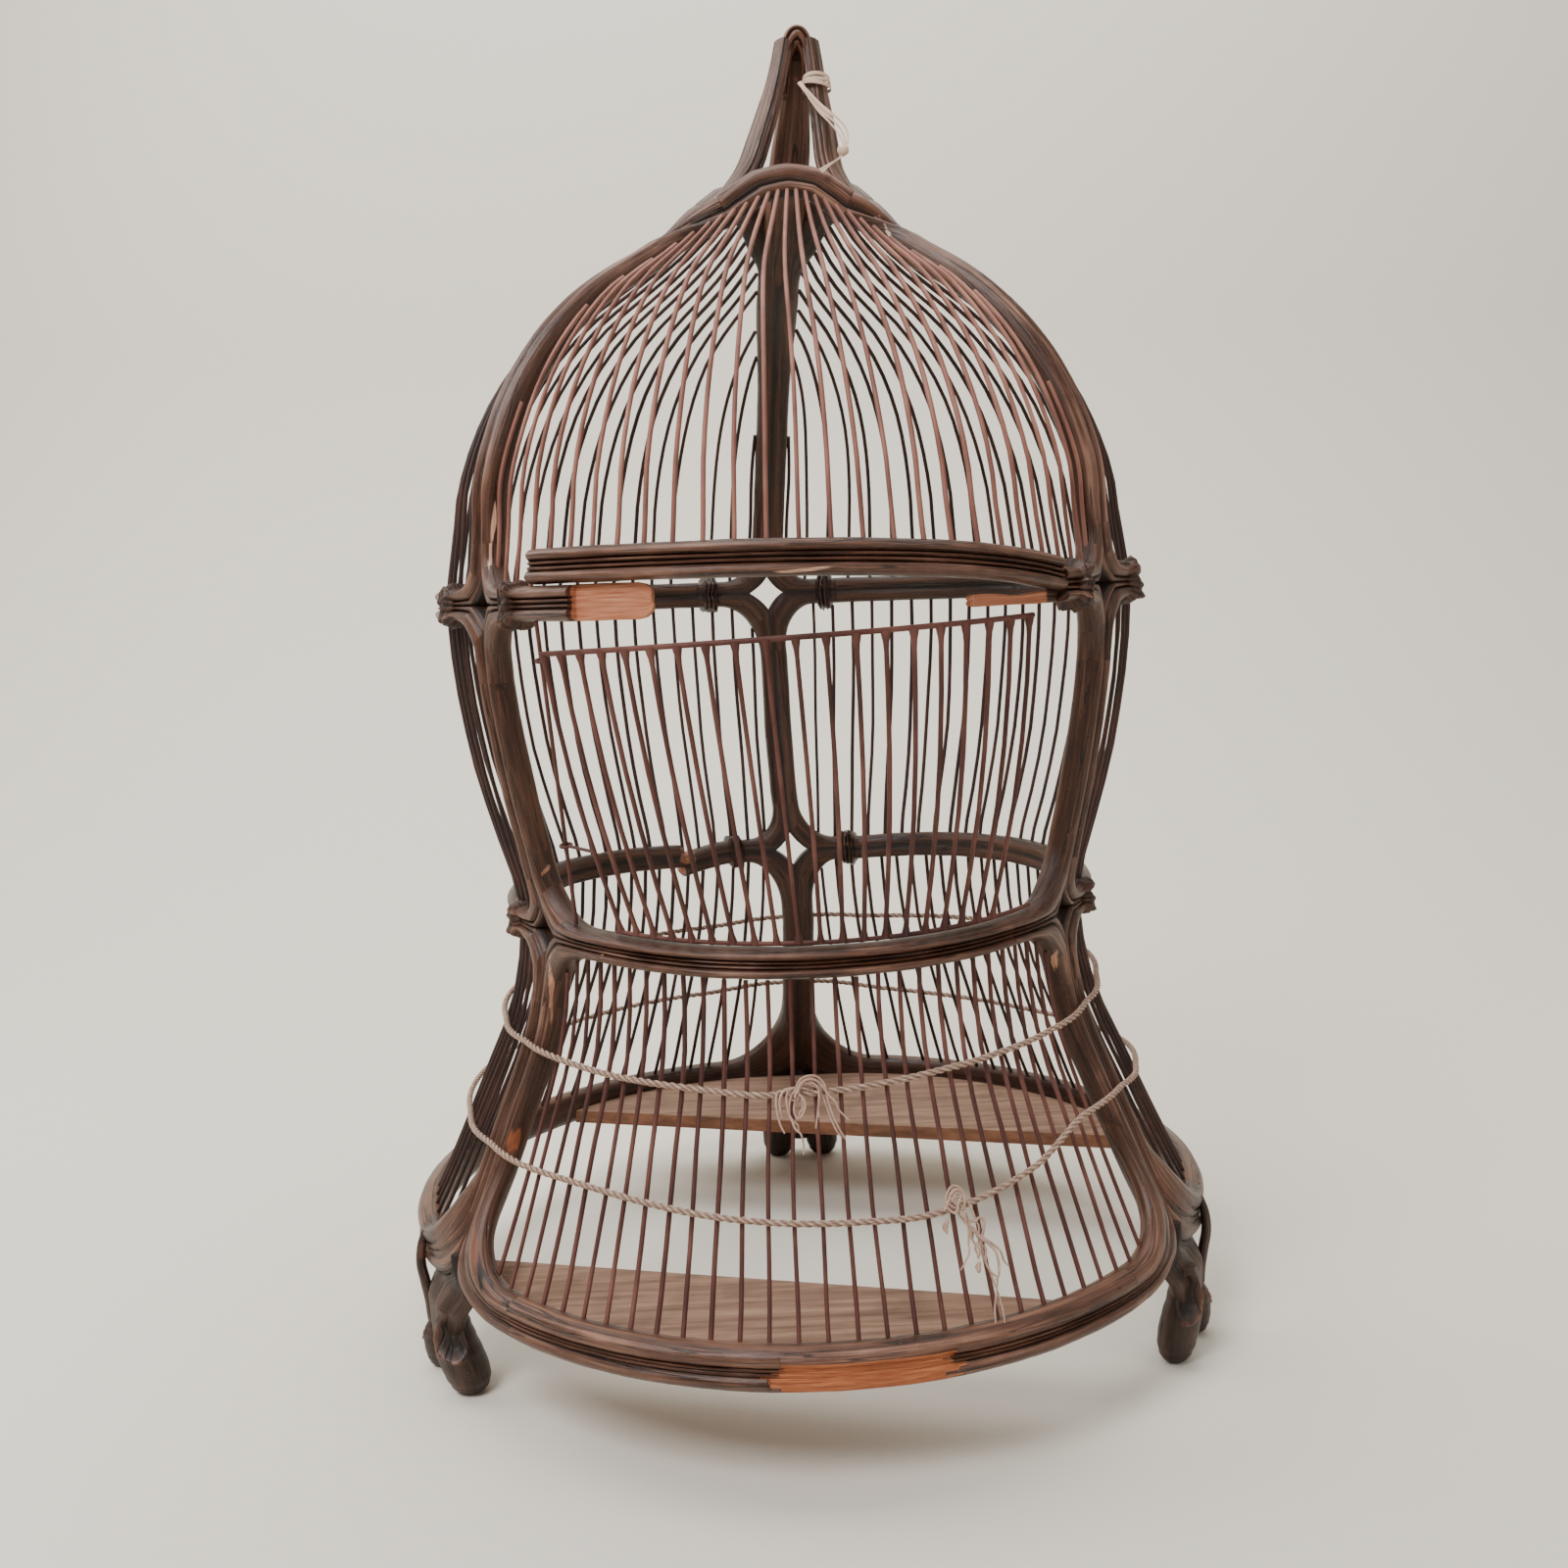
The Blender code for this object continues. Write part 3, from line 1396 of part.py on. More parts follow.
build_twine("twine_upper", upper_twine_table, upper_knot_azimuth)
build_twine("twine_lower", lower_twine_table, lower_knot_azimuth)


# Raffia tie round a leg of the handle, with a loose strand and a knot
def build_tie():
    centre_level = profile.length_at(handle_top - tie_drop)
    centre = rib_place(2, 0.0, centre_level)
    angle = math.radians(rib_azimuths[2])
    outward = Vector((math.cos(angle), math.sin(angle), 0.0))
    across = Vector((-math.sin(angle), math.cos(angle), 0.0))
    points = []
    for step in range(tie_turn_points):
        turn = math.radians(tie_turn_start + tie_turn_sweep * step / (tie_turn_points - 1))
        point = (centre + across * (tie_half_width * math.cos(turn))
                 + outward * (tie_half_depth * math.sin(turn)))
        point.z += tie_pitch * step / (tie_turn_points - 1)
        points.append(point)
    for x, y, drop in tie_route:
        points.append(Vector((x, y, handle_top - drop)))
    fine = resample(points, fine_points)
    print("raffia_tie least gap to itself", round(least_gap_to_itself(fine, tie_radius, False), 5))
    skin = Skin()
    tube(skin, points, tie_radius, 5)
    skin.finish("raffia_tie", raffia)


build_tie()

# Nail in the back leg, seen through the gap under the crest
nail_level = profile.length_at(handle_top - nail_drop)
nail_place = rib_place(0, 0.0, nail_level, -leg_top_half_thickness - gap)
bpy.ops.mesh.primitive_cylinder_add(vertices=10, radius=nail_radius, depth=nail_length)
nail = bpy.context.object
nail.name = "handle_nail"
nail.data.name = "handle_nail"
nail.rotation_euler = (math.radians(90.0), 0.0, 0.0)
nail.location = nail_place + Vector((0.0, -nail_length / 2.0, 0.0))
nail.data.materials.append(rusty_wire)
for collection in list(nail.users_collection):
    collection.objects.unlink(nail)
object_collection.objects.link(nail)
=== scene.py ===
# Carved wooden birdcage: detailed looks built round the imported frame.
# Metres, +Z up, the wire door towards -Y.
import bisect
import functools
import math
import random

import bmesh
import bpy
from mathutils import Matrix, Vector, noise
from mathutils.bvhtree import BVHTree


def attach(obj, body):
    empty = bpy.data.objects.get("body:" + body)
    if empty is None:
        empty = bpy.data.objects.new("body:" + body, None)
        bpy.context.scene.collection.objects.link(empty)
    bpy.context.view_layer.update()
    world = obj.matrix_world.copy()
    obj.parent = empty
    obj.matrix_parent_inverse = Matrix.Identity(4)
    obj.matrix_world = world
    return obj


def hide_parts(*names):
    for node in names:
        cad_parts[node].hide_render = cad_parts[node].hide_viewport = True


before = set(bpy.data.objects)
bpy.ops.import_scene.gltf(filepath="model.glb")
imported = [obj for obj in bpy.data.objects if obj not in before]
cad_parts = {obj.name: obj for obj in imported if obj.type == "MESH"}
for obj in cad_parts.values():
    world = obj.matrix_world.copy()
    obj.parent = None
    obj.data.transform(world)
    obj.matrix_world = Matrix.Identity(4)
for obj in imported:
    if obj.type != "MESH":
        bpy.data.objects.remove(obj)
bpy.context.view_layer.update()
print("frame loaded:", len(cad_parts), "nodes")


def addObject(name, data):
    item = bpy.data.objects.new(name, data)
    bpy.context.scene.collection.objects.link(item)
    return item


def selectOnly(item):
    bpy.ops.object.select_all(action="DESELECT")
    item.select_set(True)
    bpy.context.view_layer.objects.active = item


camera = {"place": (-0.0275, -1.0010, 0.4642), "pan": -0.0199, "tilt": 0.1256, "roll": -0.0366, "lens": 36.0,
          "sensor": 36.0}
cameraObject = addObject("camera", bpy.data.cameras.new("camera"))
cameraObject.location = camera["place"]
cameraObject.rotation_euler = (Matrix.Rotation(camera["pan"], 4, "Z")
                               @ Matrix.Rotation(math.pi / 2 - camera["tilt"], 4, "X")
                               @ Matrix.Rotation(camera["roll"], 4, "Z")).to_euler()
cameraObject.data.lens = camera["lens"]
cameraObject.data.sensor_width = camera["sensor"]
bpy.context.scene.camera = cameraObject

# The carved frame's path: heights and radii at the middle of a rib, the same as in the solids. Each stage's knots
# are shares of its height and of its change in radius; bow and skew, in degrees, have a value for each knot.
cage = {
    "rimHeight": 0.071, "rimRadius": 0.242, "waistHeight": 0.2665, "waistRadius": 0.1714,
    "shoulderHeight": 0.4595, "shoulderRadius": 0.1977, "crownHeight": 0.6600, "crownRadius": 0.086,
    "archHeight": 0.7020, "archReach": 0.036, "topHeight": 0.800, "handleLean": 0.0165, "leanDrop": 0.040,
    "skirt": ((0.0, 0.0), (0.17, 0.23), (0.45, 0.58), (0.71, 0.88), (1.0, 1.0)),
    "barrel": ((0.21, 0.24), (0.45, 0.60), (0.74, 0.93), (1.0, 1.0)),
    "dome": ((0.21, 0.02), (0.37, 0.05), (0.57, 0.19), (0.735, 0.39), (0.875, 0.65), (1.0, 1.0)),
    "handle": ((0.12, 0.74), (0.24, 0.51), (0.37, 0.345), (0.52, 0.265), (0.73, 0.175), (0.93, 0.105)),
    "bow": (0.039, 0.04, 0.045, 0.05, 0.06, 0.09, 0.11, 0.108, 0.115, 0.08, 0.062, 0.055, 0.05, 0.04, 0.03, 0.0, 0.0),
    "backSkew": (0.0, 0.0, -0.5, -1.0, 0.0, 1.4, 2.0, 2.2, 3.4, 2.6, 2.0, 1.2, 0.6, 0.0, 0.0),
    "stepsPerKnot": 12,
}
ribNames = ("back", "front_left", "front_right")
ribAzimuths = (90.0, 210.0, 330.0)
sideNames = ("left", "front", "right")
sideMiddles = (150.0, 270.0, 390.0)
sideRibs = ((0, 1), (1, 2), (2, 0))


def mix(a, b, t):
    return a + (b - a) * t


def pairMix(first, second, t):
    return mix(first[0], second[0], t), mix(first[1], second[1], t)


def smoothStep(t):
    t = max(0.0, min(1.0, t))
    return t * t * (3.0 - 2.0 * t)


def evenly(start, end, count):
    return [mix(start, end, index / (count - 1)) for index in range(count)]


def turnsOf(count):
    return [math.tau * step / count for step in range(count)]


def groove(spot, middle, width):
    # how deep a soft groove is, at a place across it
    return math.exp(-((spot - middle) / width) ** 2)


def compass(azimuth):
    # outward and sideways at an azimuth
    angle = math.radians(azimuth)
    return Vector((math.cos(angle), math.sin(angle), 0.0)), Vector((-math.sin(angle), math.cos(angle), 0.0))


def shareAt(table, share, ease=lambda t: t):
    for (low, lowValue), (high, highValue) in zip(table, table[1:]):
        if share <= high:
            return mix(lowValue, highValue, ease((share - low) / (high - low)))
    return table[-1][1]


def splinePoint(knots, position):
    last = len(knots) - 1
    index = min(int(position), last - 1)
    t = position - index
    p1, p2 = knots[index], knots[index + 1]
    p0 = knots[index - 1] if index > 0 else p1 + (p1 - p2)
    p3 = knots[index + 2] if index + 2 <= last else p2 + (p2 - p1)
    return 0.5 * ((2 * p1) + (p2 - p0) * t + (2 * p0 - 5 * p1 + 4 * p2 - p3) * t * t
                  + (3 * p1 - p0 - 3 * p2 + p3) * t * t * t)


def runLengths(points):
    lengths = [0.0]
    for before, after in zip(points, points[1:]):
        lengths.append(lengths[-1] + (after - before).length)
    return lengths


def headingAt(points, index):
    return (points[min(index + 1, len(points) - 1)] - points[max(index - 1, 0)]).normalized()


def makeProfile():
    knots = []
    stages = (("skirt", "rim", "waist"), ("barrel", "waist", "shoulder"), ("dome", "shoulder", "crown"))
    for shares, near, far in stages:
        for heightShare, radiusShare in cage[shares]:
            knots.append(Vector((mix(cage[near + "Radius"], cage[far + "Radius"], radiusShare),
                                 mix(cage[near + "Height"], cage[far + "Height"], heightShare))))
    for heightShare, radiusShare in cage["handle"]:
        knots.append(Vector((cage["crownRadius"] * radiusShare,
                             mix(cage["crownHeight"], cage["topHeight"], heightShare))))
    steps = cage["stepsPerKnot"]
    positions = [step / steps for step in range((len(knots) - 1) * steps + 1)]
    points = [splinePoint(knots, position) for position in positions]
    return points, positions, runLengths(points)


profilePoints, profilePositions, profileLengths = makeProfile()


def findOnProfile(level):
    # A level is the length along the profile, up from the rim.
    if level <= 0.0:
        return 0, 0.0
    index = min(bisect.bisect_left(profileLengths, level) - 1, len(profileLengths) - 2)
    span = profileLengths[index + 1] - profileLengths[index]
    return index, min((level - profileLengths[index]) / span, 1.0)


def tableAt(table, index, t):
    position = mix(profilePositions[index], profilePositions[index + 1], t)
    low = min(int(position), len(table) - 2)
    return mix(table[low], table[low + 1], position - low)


def levelAt(height):
    for index in range(len(profilePoints) - 1):
        low, high = profilePoints[index].y, profilePoints[index + 1].y
        if low <= height <= high:
            return mix(profileLengths[index], profileLengths[index + 1], (height - low) / (high - low))
    return profileLengths[-1] if height > profilePoints[-1].y else 0.0


def radiusAt(level):
    index, t = findOnProfile(level)
    return mix(profilePoints[index].x, profilePoints[index + 1].x, t)


def leanAt(height):
    start = cage["crownHeight"] - cage["leanDrop"]
    return cage["handleLean"] * smoothStep((height - start) / (cage["topHeight"] - start))


def bowAt(azimuth, index, t):
    share = ((azimuth - 30.0 + 60.0) % 120.0 - 60.0) / 60.0
    return 1.0 + tableAt(cage["bow"], index, t) * (1.0 - share * share)


def place(azimuth, level, depth=0.0, upright=0.0):
    # A point on the cage's surface, moved outward by depth; upright is 1 on the rim, whose face stands straight.
    index, t = findOnProfile(level)
    point = profilePoints[index].lerp(profilePoints[index + 1], t)
    height = cage["rimHeight"] + level if level < 0.0 else point.y
    direction = profilePoints[min(index + 2, len(profilePoints) - 1)] - profilePoints[max(index - 1, 0)]
    direction.normalize()
    flat = point.x * bowAt(azimuth, index, t) + direction.y * depth
    rise = height - direction.x * depth
    if upright:
        flat = mix(flat, cage["rimRadius"] * bowAt(azimuth, 0, 0.0) + depth, upright)
        rise = mix(rise, cage["rimHeight"] + level, upright)
    angle = math.radians(azimuth)
    return Vector((flat * math.cos(angle) + leanAt(rise), flat * math.sin(angle), rise))


def ribAzimuth(number, level):
    return ribAzimuths[number] + (tableAt(cage["backSkew"], *findOnProfile(level)) if number == 0 else 0.0)


def ribPlace(number, across, level, depth=0.0, upright=0.0):
    azimuth = ribAzimuth(number, level) + math.degrees(across / radiusAt(level))
    return place(azimuth, level, depth, upright)


waistLevel = levelAt(cage["waistHeight"])
shoulderLevel = levelAt(cage["shoulderHeight"])
crownLevel = levelAt(cage["crownHeight"])

# Sections. Each row is a share of the width, a share of the half depth and how dark the cut is painted, as painted
# shade, or below zero how worn the ridge is. The first 21 rows run from the front groove round to the back groove,
# the last 3 close a strand.
strandSection = (
    (0.00, 0.42, 1.0), (0.04, 0.60, 0.4), (0.09, 0.76, -0.2), (0.15, 0.81, -0.6), (0.21, 0.76, -0.2),
    (0.25, 0.60, 0.4), (0.28, 0.48, 1.0), (0.31, 0.62, 0.4), (0.38, 0.86, -0.3), (0.49, 0.97, -0.7),
    (0.61, 1.00, -0.8), (0.73, 0.94, -0.6), (0.85, 0.78, -0.1), (0.95, 0.46, 0.2), (1.00, 0.0, 0.4),
    (0.985, -0.38, 0.4), (0.93, -0.66, 0.3), (0.80, -0.84, 0.2), (0.55, -0.94, 0.1), (0.28, -0.96, 0.3),
    (0.00, -0.78, 0.9), (0.0, -0.42, 0.7), (0.0, 0.0, 0.6), (0.0, 0.28, 0.8))
rimSection = (
    (0.12, 0.72, -0.2), (0.20, 0.88, -0.6), (0.29, 0.84, -0.4), (0.35, 0.70, 0.1), (0.38, 0.54, 0.9),
    (0.41, 0.66, -0.1), (0.45, 0.74, -0.7), (0.485, 0.56, 0.8), (0.515, 0.68, 0.0), (0.55, 0.74, -0.6),
    (0.58, 0.54, 0.9), (0.62, 0.76, -0.1), (0.77, 0.92, -0.7), (0.91, 0.74, -0.9), (1.00, 0.0, -0.6),
    (0.98, -0.40, -0.3), (0.92, -0.68, 0.1), (0.80, -0.83, 0.3), (0.60, -0.84, 0.4), (0.40, -0.84, 0.4),
    (0.22, -0.82, 0.4), (0.05, -0.50, 0.5), (0.0, 0.0, 0.5), (0.03, 0.45, 0.2))
archSection = (
    (0.05, 0.50, -0.2), (0.10, 0.76, -0.6), (0.18, 0.92, -0.9), (0.29, 1.00, -0.9), (0.40, 0.96, -0.5),
    (0.49, 0.80, 0.1), (0.55, 0.56, 0.8), (0.59, 0.44, 1.0), (0.63, 0.56, 0.7), (0.70, 0.80, -0.3),
    (0.77, 0.86, -0.7), (0.84, 0.76, -0.2), (0.90, 0.52, 0.6), (0.96, 0.28, 0.8), (1.00, 0.0, 0.9),
    (0.97, -0.40, 0.9), (0.90, -0.68, 0.8), (0.78, -0.82, 0.7), (0.58, -0.86, 0.6), (0.38, -0.86, 0.5),
    (0.20, -0.80, 0.4), (0.06, -0.50, 0.2), (0.0, 0.0, -0.3), (0.02, 0.28, -0.4))
# the strand's rows with the front groove filled, for the knobs beside the junctions
knobSection = tuple((share, max(depth, 0.98 * math.sqrt(1.0 - share ** 2.2)) if depth > 0.0 else depth, 0.6 * dark)
                    for share, depth, dark in strandSection)
backGroove = 20


def toned(spot, dark=0.0, fresh=0.0, warm=0.0):
    # a ring's point also carries how dark, how freshly broken and how warm it is; dark is painted shade in the cuts
    # and, below zero, wear on the ridges; warm is painted warm light on the inner faces and also marks torn faces
    return Vector((*spot, dark, fresh, warm))


def lobe(inner, outer, halfDepth, where, morph=0.0, target=rimSection, bulge=0.0, fresh=0.0):
    # One strand's ring, from the strand's own section to the target's as morph goes from 0 to 1.
    points = []
    for index, (row, goal) in enumerate(zip(strandSection, target)):
        share, depth, dark = (mix(a, b, morph) for a, b in zip(row, goal))
        if index > backGroove:
            share -= bulge * (1.0 if index == backGroove + 2 else 0.7) * (1.0 - morph)
        spot = where(*pairMix(inner, outer, share), halfDepth * depth)
        # warm: painted warm light on the strand's sides and inner face
        points.append(toned(spot, dark * (1.0 - fresh), fresh, max(0.0, min(1.0, (0.30 - depth) / 0.6))))
    return points


def joinedRing(first, second):
    return first[0:backGroove + 1] + second[backGroove - 1:0:-1]


def pairRing(where, inner, outers, halfDepth, *shape, **more):
    # two strands side by side, joined back to back
    return joinedRing(*[lobe(inner, outer, halfDepth, where, *shape, **more) for outer in outers])


openEnds = (None, None)
# How deep the carver's tool marks are, and how many waves to the metre: coarse ones of about 20 mm, fine ones of 7 mm
toolMarks = {"frame": 0.0003, "small": 0.0002, "arch": 0.00015, "coarse": 45.0, "fine": 150.0, "fineShare": 0.45}
# A member's closed end: its two inner rings as shares of the edge, and the teeth of a torn one
endFace = {"outer": 0.72, "inner": 0.38, "teeth": 420.0, "push": 0.2, "patchGap": 0.37}


class Carving:
    # Collects lofted patches whose end rings match, with UVs in metres round and along the member.

    def __init__(self):
        self.mesh = bmesh.new()
        self.tone = self.mesh.verts.layers.float_vector.new("tone")
        self.map = self.mesh.loops.layers.uv.new("grain")
        self.offset = 0.0

    def addVertex(self, spot, tone):
        vertex = self.mesh.verts.new(spot)
        vertex[self.tone] = tone
        return vertex

    def loft(self, rings, ends=(0.0, 0.0)):
        # An end is None where it stays open, or how far its closed face is torn.
        rows = [[self.addVertex(point[:3], point[3:6]) for point in ring] for ring in rings]
        count = len(rows[0])
        middle = [sum((vertex.co for vertex in row), Vector()) / count for row in rows]
        around = [0.0]
        for index in range(count):
            around.append(around[-1] + (rows[0][(index + 1) % count].co - rows[0][index].co).length)
        along = self.offset
        for number, (before, after) in enumerate(zip(rows, rows[1:])):
            further = along + (middle[number + 1] - middle[number]).length
            for index in range(count):
                following = (index + 1) % count
                face = self.mesh.faces.new((before[index], before[following], after[following], after[index]))
                for loop, spot in zip(face.loops, ((around[index], along), (around[index + 1], along),
                                                   (around[index + 1], further), (around[index], further))):
                    loop[self.map].uv = spot
            along = further
        self.offset += endFace["patchGap"]  # each patch takes its own stretch of the grain
        for torn, row, outward in ((ends[0], rows[0], middle[0] - middle[1]),
                                   (ends[1], rows[-1], middle[-1] - middle[-2])):
            if torn is not None:
                self.cap(row, outward.normalized(), torn)

    def cap(self, row, outward, torn):
        # two rings inside the edge, pushed out unevenly where the end is torn, and a face in the middle
        centre = sum((vertex.co for vertex in row), Vector()) / len(row)
        for share in (endFace["outer"], endFace["inner"] / endFace["outer"]):
            inside = []
            for vertex in row:
                spot = centre.lerp(vertex.co, share)
                spot += outward * torn * (noise.noise(spot * endFace["teeth"]) + endFace["push"])
                inside.append(self.addVertex(spot, (0.2, 1.0, 0.0) if torn else vertex[self.tone]))
            for index in range(len(row)):
                following = (index + 1) % len(row)
                self.capFace((row[index], row[following], inside[following], inside[index]))
            row = inside
        self.capFace(row)

    def capFace(self, corners):
        face = self.mesh.faces.new(corners)
        for loop in face.loops:
            loop[self.map].uv = (loop.vert.co.x + loop.vert.co.y, loop.vert.co.z)

    def finish(self, name, material, nodes=(), body="cage", rough=0.0, sharp=60.0):
        bmesh.ops.remove_doubles(self.mesh, verts=self.mesh.verts, dist=0.00001)
        bmesh.ops.recalc_face_normals(self.mesh, faces=self.mesh.faces)
        if rough:
            self.mesh.normal_update()
            for vertex in self.mesh.verts:
                wave = noise.noise(vertex.co * toolMarks["coarse"])
                wave += toolMarks["fineShare"] * noise.noise(vertex.co * toolMarks["fine"])
                vertex.co = vertex.co + vertex.normal * (rough * wave)
        data = bpy.data.meshes.new(name)
        self.mesh.to_mesh(data)
        self.mesh.free()
        return finishPiece(name, data, material, nodes, body, sharp)

    def finishWood(self, node, rough=toolMarks["frame"]):
        return self.finish("carved_" + node, stainedWood, (node,), rough=rough)


def finishPiece(name, data, material, nodes=(), body="cage", sharp=60.0):
    piece = addObject(name, data)
    selectOnly(piece)
    bpy.ops.object.shade_smooth_by_angle(angle=math.radians(sharp))
    data.materials.clear()
    data.materials.append(material)
    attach(piece, body)
    if nodes:
        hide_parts(*nodes)
    return piece


def linearColour(text):
    values = [int(text[start:start + 2], 16) / 255.0 for start in (1, 3, 5)]
    return (*[value / 12.92 if value <= 0.04045 else ((value + 0.055) / 1.055) ** 2.4 for value in values], 1.0)


def shadeOf(text, share):
    values = [min(255, round(int(text[start:start + 2], 16) * share)) for start in (1, 3, 5)]
    return "#%02x%02x%02x" % tuple(values)


def setInputs(tree, node, inputs):
    # an input is a value, or another node's output
    for key, value in inputs.items():
        if isinstance(value, bpy.types.NodeSocket):
            tree.links.new(value, node.inputs[key])
        else:
            node.inputs[key].default_value = value


def addNode(tree, kind, inputs, out=0, stops=(), **settings):
    # One node with its inputs, its settings and a ramp's stops. It gives back the output that is used.
    node = tree.nodes.new("ShaderNode" + kind)
    for key, value in settings.items():
        setattr(node, key, value)
    setInputs(tree, node, inputs)
    if stops:
        elements = node.color_ramp.elements
        while len(elements) < len(stops):
            elements.new(0.5)
        for element, (position, colour) in zip(elements, stops):
            element.position = position
            element.color = linearColour(colour)
    return node.outputs[out]


def startMaterial(name):
    material = bpy.data.materials.new(name)
    material.use_nodes = True
    tree = material.node_tree
    shader = tree.nodes["Principled BSDF"]
    return material, functools.partial(addNode, tree), functools.partial(setInputs, tree, shader)


# Settings that many nodes share: a product plus a third value, the same kept from 0 to 1, a mix of two colours, and
# a soft step
addTo = {"operation": "MULTIPLY_ADD"}
addToShare = {"operation": "MULTIPLY_ADD", "use_clamp": True}
colours = {"data_type": "RGBA", "out": 2}
soft = {"interpolation_type": "SMOOTHSTEP"}

# Each pattern on the grain: how many to the metre across and along it, detail and roughness. Fibres are about 0.9 mm
# wide, coarser than real grain so that they show, and streaks of stain 4 mm; checks follow a wider field's middle.
woodLook = {
    "fibre": (1100.0, 40.0, 4.0, 0.62), "streak": (260.0, 11.0, 3.0, 0.55), "check": (170.0, 5.0, 2.0, 0.5),
    "base": ((0.30, "#1c0d08"), (0.50, "#432619"), (0.72, "#6b4330")),
    "worn": ((0.28, "#4a2c20"), (0.50, "#7c5441"), (0.72, "#b28873")),
    "warmLitTint": ((0.30, "#26120b"), (0.50, "#57331f"), (0.72, "#8c5e42")),
    "broken": ((0.26, "#783c27"), (0.46, "#b06a4a"), (0.72, "#d69a78")),
    "torn": ((0.30, "#6e341c"), (0.48, "#9f5630"), (0.68, "#c27c50")),
    # far is the colour of the painted shade on the far side of the frame, cut the colour of the painted shade in the
    # cuts
    "far": "#1a0f0b", "rearShadeShare": 0.42, "cut": "#0b0604", "checkTint": "#0f0806", "dust": "#b9a193",
    "dustShare": 0.35, "innerLightShare": 0.88,
}
# Places where the stain is torn off, split or scorched, and two patches of painted shade: two ends, half width,
# colour and strength
woodMarks = (
    ((-0.1495, -0.1030, 0.2510), (-0.1508, -0.1015, 0.2130), 0.0021, "#b98262", 0.9),
    ((0.1450, -0.1050, 0.2540), (0.1463, -0.1000, 0.2130), 0.0020, "#c39070", 0.9),
    ((-0.1520, -0.1000, 0.3030), (-0.1475, -0.0985, 0.3078), 0.0014, "#a5745a", 0.8),
    ((-0.1740, -0.1140, 0.1540), (-0.1768, -0.1165, 0.1400), 0.0038, "#a05a3a", 0.8),
    ((-0.1934, -0.1444, 0.0990), (-0.1900, -0.1670, 0.0790), 0.0016, "#090504", 1.0),
    ((0.2026, -0.1330, 0.0970), (0.1998, -0.1490, 0.0815), 0.0018, "#090504", 1.0),
    ((-0.1840, -0.1750, 0.0815), (-0.1660, -0.1880, 0.0795), 0.0007, "#0d0705", 1.0),
    ((0.1600, -0.1960, 0.0795), (0.1820, -0.1830, 0.0850), 0.0007, "#0d0705", 1.0),
    ((-0.0840, 0.1540, 0.2660), (-0.0740, 0.1550, 0.2700), 0.0075, "#9c6544", 0.8),
    ((-0.0150, -0.2258, 0.4705), (0.0150, -0.2258, 0.4728), 0.0012, "#d0a58c", 0.9),
    ((-0.1660, -0.1090, 0.5100), (-0.1700, -0.1140, 0.4790), 0.0016, "#e0ae94", 1.0),
    ((0.0610, -0.0440, 0.6770), (0.0700, -0.0510, 0.6550), 0.0012, "#e0c2aa", 1.0),
    ((-0.2420, -0.0720, 0.0700), (-0.2370, -0.0810, 0.0660), 0.0048, "#a5674f", 0.7),
    ((-0.2000, -0.1340, 0.1060), (-0.1960, -0.1520, 0.0880), 0.0050, "#7d4a37", 0.6),
    ((0.2065, -0.1300, 0.0960), (0.2055, -0.1520, 0.0780), 0.0050, "#94685a", 0.6),
    ((-0.0290, -0.0430, 0.7050), (-0.0300, -0.0330, 0.7060), 0.0012, "#1a0f0b", 1.0),
    # painted shade: two broad dark patches on the base corners over the far volutes
    ((-0.2330, -0.0800, 0.1050), (-0.2350, -0.0780, 0.0560), 0.0170, "#2a1a14", 0.72),
    ((0.2330, -0.0800, 0.1050), (0.2350, -0.0780, 0.0560), 0.0170, "#2a1a14", 0.72),
)


